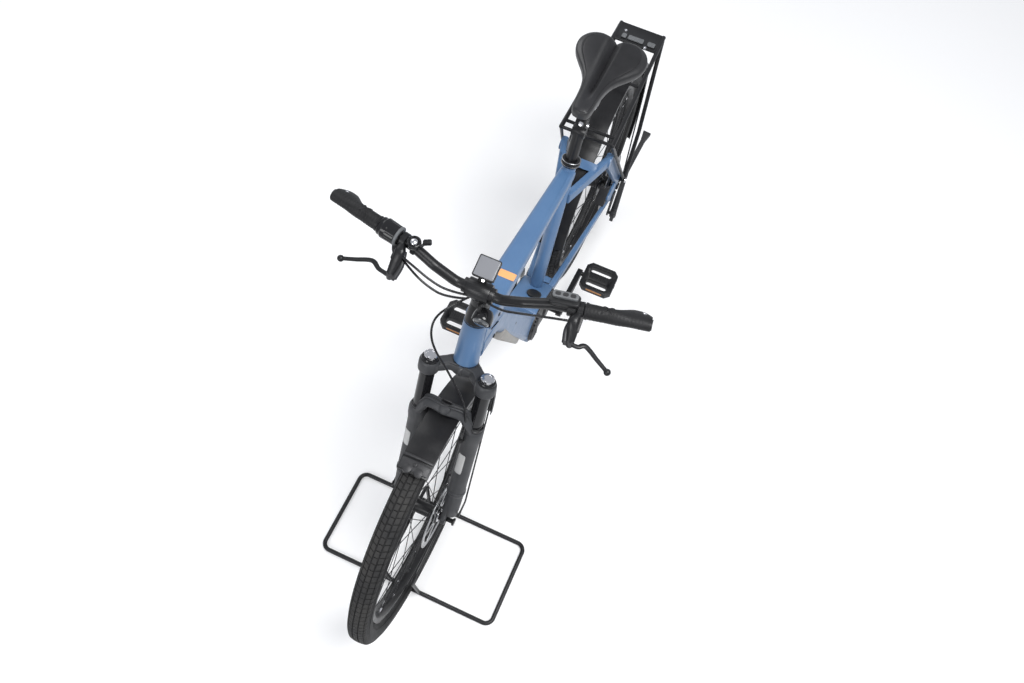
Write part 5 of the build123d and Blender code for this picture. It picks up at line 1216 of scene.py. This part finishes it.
def makeFork():
    both = [legPoint(0, 1), legPoint(0, -1)]
    tube = [(0.0, 0.210), (fork["tubeRadius"], 0.210), (fork["tubeRadius"], 0.484), (0.0, 0.484)]
    tubes = turned("upperTubes", both, steerUp, tube, "glossBlack", "front_assembly", 48)
    # leg profile: a stout foot, a seam ring, a long slim sleeve and a swelling collar
    leg = [(0.0, 0.020), (0.0120, 0.020), (0.0185, 0.028), (0.0205, 0.060), (0.0212, 0.104), (0.0218, 0.112),
           (0.0236, 0.114), (0.0236, 0.121), (0.0219, 0.123), (0.0214, 0.150), (0.0212, 0.240),
           (0.0216, 0.292),
           (0.0228, 0.304), (0.0243, 0.312), (0.0246, 0.330), (0.0238, 0.3365), (0.0218, 0.340),
           (0.0172, 0.340)]
    legs = turned("lowerLegs", both, steerUp, leg, "forkGrey", "front_assembly", 56)
    seal = [(0.0172, 0.338), (0.0206, 0.338), (0.0212, 0.3405), (0.0208, 0.3445), (0.0190, 0.3462),
            (0.0172, 0.3470)]
    turned("wiperSeals", both, steerUp, seal, "glossBlack", "front_assembly", 48)
    knuckle = [(0.0172, 0.4520), (0.0208, 0.4520), (0.0232, 0.4545), (0.0241, 0.4600), (0.0241, 0.4760),
               (0.0232, 0.4815), (0.0212, 0.4836), (0.0, 0.4836)]
    crown = turned("crownKnuckles", both, steerUp, knuckle, "forkGrey", "front_assembly", 56)
    # crown arms: a boxed section that swells towards the steerer
    rows = [(466, 38, 68), (468, 30, 50), (468.5, 13, 30), (469, 6, 12)]
    path = smoothPath([steerPoint(u, a, y) for u, a,
                       y in rows + [(469, 5, 0)] + [(u, a, -y) for u, a, y in rows[::-1]]], 72)
    t = np.abs(np.linspace(-1, 1, 72))
    wide = np.interp(t, [0, 0.25, 0.55, 1.0], [0.0310, 0.0260, 0.0165, 0.0180])
    deep = np.interp(t, [0, 0.3, 0.7, 1.0], [0.0130, 0.0135, 0.0120, 0.0125])
    carried("crownArms", path, wide, deep, steerAhead, "forkGrey", "front_assembly", sides=40,
            power=0.55, sharp=30.0)
    ridge = smoothPath([steerPoint(u, a, y) for u, a, y in
                        [(480, 44, 44), (481.5, 30, 30), (482, 27, 14), (482, 27, 0), (482, 27, -14),
                         (481.5, 30, -30),
                         (480, 44, -44)]], 60)
    carried("crownRidge", ridge, 0.0022, 0.0017, steerUp, "forkGrey", "front_assembly",
            sides=14)
    boss = [(0.0, 0.4540), (0.0270, 0.4540), (0.0310, 0.4580), (0.0318, 0.4740), (0.0300, 0.4795),
            (0.0283, 0.4817), (0.0, 0.4817)]
    turned("crownBoss", steerPoint(0, 0), steerUp, boss, "forkGrey", "front_assembly", 64)
    turned("steerer", steerPoint(0, 0), steerUp,
           [(0.0, 0.478), (0.0142, 0.478), (0.0142, 0.684), (0.0, 0.684)],
           "brushedSteel", "front_assembly", 32)
    # caps: a dark flange, and a bright dial with six finger notches and a shallow recess
    flange = [(0.0, 0.4835), (0.0196, 0.4835), (0.0202, 0.4850), (0.0202, 0.4885), (0.0190, 0.4905),
              (0.0, 0.4905)]
    turned("capFlanges", both, steerUp, flange, "glossBlack", "front_assembly", 48)
    for side, label in ((1, "Left"), (-1, "Right")):
        turn = np.arange(72) / 72 * 2 * np.pi
        notch = 1 - 0.13 * (np.cos(turn * 6) > 0.72)
        rows = []
        for radius, up, share in ((0.0, 0.4900, 0), (0.0150, 0.4900, 1), (0.0158, 0.4915, 1),
                                  (0.0158, 0.4968, 1),
                                  (0.0146, 0.4985, 1), (0.0090, 0.4992, 0), (0.0086, 0.4984, 0),
                                  (0.0, 0.4980, 0)):
            shaped = radius * np.where(share, notch, 1.0)
            ring = steerAhead[None] * np.cos(turn)[:, None] + across[None] * np.sin(turn)[:, None]
            rows.append(legPoint(0, side)[None] + steerUp[None] * up + ring * shaped[:, None])
        addPiece("capDial" + label, np.array(rows), gridFaces(8, 72), "polished", "front_assembly",
                 30.0)
    # arch: a broad leaning band with an angular shoulder on each side and a raised boss in the middle
    run = [(314, 46, 67), (346, 54, 64), (386, 64, 46), (391, 70, 22), (389, 72, 0)]
    run = run + [(u, a, -y) for u, a, y in run[-2::-1]]
    archPath = corneredPath([steerPoint(u, a, y) for u, a, y in run], 110, 4)
    t = np.abs(np.linspace(-1, 1, 110))
    tall = np.interp(t, [0, 0.25, 0.55, 0.8, 1.0], [0.0160, 0.0150, 0.0160, 0.0150, 0.0130])
    deep = np.interp(t, [0, 0.5, 1.0], [0.0068, 0.0075, 0.0100])
    lean = np.radians(fork["archLean"])
    rise = steerUp * np.cos(lean) - steerAhead * np.sin(lean)
    carried("archBand", archPath, tall, deep, rise, "forkGrey", "front_assembly", sides=36,
            power=0.5, sharp=28.0)
    facing = unit(steerAhead * np.cos(lean) + steerUp * np.sin(lean))
    turned("archBoss", steerPoint(388, 72) - facing * 0.004, facing,
           [(0.0, 0.0), (0.0125, 0.0), (0.0135, 0.006), (0.0128, 0.0140), (0.0105, 0.0156), (0.0, 0.0158)],
           "forkGrey", "front_assembly", 36)
    rib = corneredPath([steerPoint(u + 8.5, a + 0.5, y * 0.985) for u, a, y in run[1:-1]], 90, 4)
    carried("archRib", rib, 0.0026, 0.0088, rise, "forkGrey", "front_assembly", sides=16,
            power=0.7)
    # dropouts, the eyes round the axle and the bolts under the legs
    for side, label in ((1, "Left"), (-1, "Right")):
        drop = smoothPath([steerPoint(u, a, side * y) for u, a,
                           y in ((74, 43, 66), (44, 43, 61), (14, 45, 58), (0, 46, 58))], 24)
        carried("dropout" + label, drop, np.interp(np.linspace(0, 1, 24), [0, 0.5, 1],
                                                   [0.0165, 0.0090, 0.0070]),
                np.interp(np.linspace(0, 1, 24), [0, 0.5, 1], [0.0190, 0.0190, 0.0160]), across, "forkGrey",
                "front_assembly", sides=28, power=0.7)
        turned("dropoutEye" + label, frontHub + across * side * 0.0515, across * side,
               [(0.0062, 0.0), (0.0160, 0.0), (0.0172, 0.0012), (0.0172, 0.0118), (0.0160, 0.0132),
                (0.0062, 0.0132)],
               "forkGrey", "front_assembly", 40)
        turned("footBolt" + label, legPoint(20, side), -steerUp,
               [(0.0, 0.0055), (0.0030, 0.0055), (0.0036, 0.0065), (0.0072, 0.0060), (0.0080, 0.0)],
               "steel", "front_assembly", 24)
    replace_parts(tubes, "stanchions")
    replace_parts(crown, "fork_crown")
    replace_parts(legs, "fork_lowers")


makeFork()


def makeForkDetails():
    # bare pale patches on the legs, the hose guide, a ring round the left leg, and the mudguard's front clip
    sleevePatch("legPatchLeft", 1, 196, 262, -16, 27, 0.0216, 0.0005, "paleGrey")
    sleevePatch("legPatchRight", -1, 214, 262, -30, 27, 0.0216, 0.0005, "paleGrey")
    turned("hoseGuide", steerPoint(309, 66, 52), steerAhead,
           [(0.0, -0.004), (0.0052, -0.004), (0.0060, -0.003), (0.0060, 0.0052), (0.0045, 0.0062),
            (0.0, 0.0062)],
           "blackPlastic", "front_assembly", 24)
    guideRing = np.linspace(0, 2 * np.pi, 40, endpoint=False)
    ringPath = (legPoint(349, 1)[None] + steerAhead[None] * fork["guideRing"] * np.cos(guideRing)[:, None]
                + across[None] * fork["guideRing"] * np.sin(guideRing)[:, None])
    carried("leverCableRing", ringPath, 0.0024, 0.0015, steerUp, "blackPlastic", "front_assembly",
            sides=12, closed=True)
    side = np.linspace(-1, 1, 40)
    drawn = fork["drawn"] - 0.0035 * np.abs(side) ** 3
    for label, degrees, wide, thick in (("Clip", 86.5, 0.0125, 0.0024), ("ClipRidge", 89.5, 0.0032, 0.0040)):
        path = wheelPoint(frontHub, drawn + 0.0006, side * 0.0335, np.radians(degrees) * np.ones(40))
        forwardDir = np.array([-np.sin(np.radians(degrees)), 0, np.cos(np.radians(degrees))])
        carried("fender" + label, path, wide, thick, forwardDir, "castGrey", "front_assembly",
                sides=24, power=0.6)
    lobes = wheelPoint(frontHub, 0.3722, np.array([0.0135, -0.0135]), np.radians(85.0) * np.ones(2))
    out = np.array([np.cos(np.radians(85.0)), 0, np.sin(np.radians(85.0))])
    turned("fenderClipLobes", lobes, out, [(0, 0.0038), (0.0062, 0.0036), (0.0098, 0.0022), (0.0108, -0.003),
                                           (0, -0.003)],
           "castGrey", "front_assembly", 28)
    turned("fenderClipBolt", wheelPoint(frontHub, 0.3735, 0.0, np.radians(87.0)), out,
           [(0, 0.0036), (0.0019, 0.0036), (0.0022, 0.0052), (0.0044, 0.0048), (0.0052, 0.0)],
           "castGrey", "front_assembly", 24)


makeForkDetails()
print("fork made")

# Trim of the pedals, frame, seatpost and carrier.
def trimPedal(name, node, body):
    # amber reflectors at both ends, grip studs on both faces, a row of ribs and a spindle cap
    low, high = (np.array(c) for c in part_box(node))
    middle = (low + high) / 2
    half = (high - low) / 2
    for label, sign in (("Front", 1), ("Back", -1)):
        roundedPlate(name + "Reflector" + label, roundedOutline(0.050, 0.0098, 0.0020),
                     middle + np.array([sign * (half[0] - 0.0028), 0, 0]), (0, sign, 0), (0, 0, 1), 0.0034,
                     0.0008,
                     "amberLens", body)
    studs = np.array([(x * (half[0] - 0.0055), y, z * half[2]) for x in (-1, 1) for z in (-1, 1)
                      for y in np.linspace(-0.030, 0.030, 6)])
    for label, sign in (("Top", 1), ("Under", -1)):
        rows = studs[studs[:, 2] * sign > 0] + middle
        turned(name + "Studs" + label, rows, (0, 0, sign),
               [(0.0, 0.0013), (0.0012, 0.0013), (0.0019, 0.0004), (0.0023, -0.0006), (0.0, -0.0006)],
               "blackPlastic", body, 12)
    rib = np.linspace(-0.034, 0.034, 12)
    ribHalf = 0.0062
    starts = np.array([(-ribHalf, y, half[2]) for y in rib]) + middle
    rodSet(name + "Ribs", starts, starts + (2 * ribHalf, 0, 0), 0.0011, "blackPlastic", body,
           sides=8)
    out = np.sign(middle[1])
    turned(name + "Cap", middle + np.array([0, out * half[1], 0]), (0, out, 0),
           [(0.0, 0.0012), (0.0050, 0.0012), (0.0064, 0.0004), (0.0068, -0.001), (0.0, -0.001)],
           "castGrey", body, 28)


trimPedal("leftPedal", "pedal_left", "pedal_l")
trimPedal("rightPedal", "pedal_right", "pedal_r")

frameTrim = dict(
    patch=(0.1707, 0.0085, 0.8600), tubeSlope=0.233,
    grommets=((573.8, -79.8, 28.0), (512.6, -76.4, 29.8)), slot=((557.4, -41.2, 28.2), (547.4, -86.7, 29.6)),
    plug=(0.1375, 0.0357, 0.6025))


def trimFrame():
    slope = frameTrim["tubeSlope"]
    along = np.array([np.sqrt(1 - slope**2), 0, slope])
    roundedPlate("orangePatch", roundedOutline(0.0230, 0.0400, 0.0024), frameTrim["patch"], along, (0, 1, 0),
                 0.0006, 0.00025, "orangeBlank", "frame")
    spots = np.array([steerPoint(u, a, y) for u, a, y in frameTrim["grommets"]])
    turned("cableGrommets", spots, across,
           [(0.0, 0.0002), (0.0022, 0.0002), (0.0026, 0.0016), (0.0042, 0.0018), (0.0052, 0.0008),
            (0.0054, -0.001), (0.0, -0.001)],
           "rubber", "frame", 28)
    ends = [steerPoint(u, a, y) for u, a, y in frameTrim["slot"]]
    carried("cableSlot", np.linspace(ends[0], ends[1], 12), 0.0012, 0.0016, across, "rubber", "frame",
            sides=12)
    turned("facetPlug", frameTrim["plug"], across,
           [(0.0, 0.0006), (0.0030, 0.0006), (0.0036, 0.0), (0.0036, -0.001), (0.0, -0.001)],
           "midGrey", "frame", 24)


trimFrame()


headRings = dict(low=484.5, top=598.5)
for label, up, radius in (("Low", headRings["low"], 0.0293), ("Top", headRings["top"], 0.0262)):
    turned("headRing" + label, steerPoint(up, 0), steerUp,
           [(0.0, -0.0014), (radius, -0.0014), (radius + 0.0004, -0.0006), (radius + 0.0004, 0.0006),
            (radius, 0.0014), (0.0, 0.0014)],
           "blackPaint", "frame", 64)

seatTrim = dict(
    tubeAngle=73.0, steps=(("Low", -0.0056), ("Top", 0.0052)),
    bolts=(("Front", (-0.2875, 0.0, 0.8852), (0.71, 0, 0.70)),
           ("Side", (-0.2982, 0.0135, 0.8730), (0, 1, 0))))


def trimSeatPost():
    # two thin bright steps on the clamp, and the saddle clamp's two bolts
    low, high = (np.array(c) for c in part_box("seat_clamp"))
    lean = np.radians(seatTrim["tubeAngle"])
    axis = unit(np.array([-np.cos(lean), 0, np.sin(lean)]))
    middle, radius = (low + high) / 2, (high[1] - low[1]) / 2
    for label, up in seatTrim["steps"]:
        turned("seatRing" + label, middle + axis * up, axis,
               [(radius - 0.004, -0.0011), (radius + 0.0004, -0.0011), (radius + 0.0012, -0.0004),
                (radius + 0.0012, 0.0004), (radius + 0.0004, 0.0011), (radius - 0.004, 0.0011)],
               "brushedSteel", "frame", 64)
    for label, at, facing in seatTrim["bolts"]:
        turned("postBolt" + label, at, facing,
               [(0.0, 0.0016), (0.0024, 0.0016), (0.0028, 0.0036), (0.0058, 0.0032), (0.0066, -0.001),
                (0.0, -0.001)],
               "polished", "frame", 24)


trimSeatPost()
carrier = dict(pads=((-0.0385, 0.0135), (-0.0035, 0.0460), (0.0425, 0.0220)), padAt=-0.7655, top=0.7455,
               bolts=((-0.7864, -0.0411), (-0.7474, 0.0300)), padLift=0.0012,
               feet=((-0.5660, 0.1040, 0.4040), (-0.5660, -0.1040, 0.4040)))


def trimCarrier():
    for index, (side, wide) in enumerate(carrier["pads"]):
        roundedPlate("carrierPad" + str(index), roundedOutline(0.0165, wide, 0.0030),
                     (carrier["padAt"], side, carrier["top"] + carrier["padLift"]), (1, 0, 0), (0, 1, 0),
                     0.0034, 0.0012,
                     "midGrey", "frame")
    spots = np.array([(x, y, carrier["top"]) for x, y in carrier["bolts"]])
    turned("carrierBolts", spots, (0, 0, 1),
           [(0.0, 0.0012), (0.0018, 0.0012), (0.0021, 0.0026), (0.0042, 0.0022), (0.0048, 0.0), (0.0, 0.0)],
           "polished", "frame", 24)
    turned("carrierFootBolts", np.array(carrier["feet"]),
           np.array([(0, 1.0, 0), (0, -1.0, 0)]),
           [(0.0, 0.0032), (0.0028, 0.0032), (0.0033, 0.0052), (0.0066, 0.0046), (0.0074, 0.0), (0.0, 0.0)],
           "polished", "frame", 24)


trimCarrier()
print("trim made")

# Floor and sky.
stageLook = dict(half=30.0, floorColour=(0.8, 0.8, 0.8, 1.0), floorRough=0.6, glow=0.22,
                 glowColour=(1.0, 1.0, 1.0, 1.0),
                 skyColour=(0.90, 0.93, 1.0, 1.0), skyStrength=0.5)
floorMesh = bpy.data.meshes.new("floor")
corners = [(x * stageLook["half"], y * stageLook["half"], 0) for x, y in ((-1, -1), (1, -1), (1, 1), (-1, 1))]
floorMesh.from_pydata(corners, [], [(0, 1, 2, 3)])
floor = bpy.data.objects.new("floor", floorMesh)
bpy.context.scene.collection.objects.link(floor)
pale = bpy.data.materials.new("paleFloor")
pale.use_nodes = True
paleNodes, paleLinks = pale.node_tree.nodes, pale.node_tree.links
paleInputs = paleNodes["Principled BSDF"].inputs
paleInputs["Base Color"].default_value = stageLook["floorColour"]
paleInputs["Roughness"].default_value = stageLook["floorRough"]
# the camera sees the floor a little lighter than it is, so that it reads as white and keeps its shadows
lightPath = paleNodes.new("ShaderNodeLightPath")
glow = paleNodes.new("ShaderNodeMath")
glow.operation = "MULTIPLY"
glow.inputs[1].default_value = stageLook["glow"]
paleLinks.new(lightPath.outputs["Is Camera Ray"], glow.inputs[0])
paleInputs["Emission Color"].default_value = stageLook["glowColour"]
paleLinks.new(glow.outputs["Value"], paleInputs["Emission Strength"])
floorMesh.materials.append(pale)

sky = bpy.data.worlds.new("studio")
sky.use_nodes = True
sky.node_tree.nodes["Background"].inputs["Color"].default_value = stageLook["skyColour"]
sky.node_tree.nodes["Background"].inputs["Strength"].default_value = stageLook["skyStrength"]
bpy.context.scene.world = sky
print("stage set")
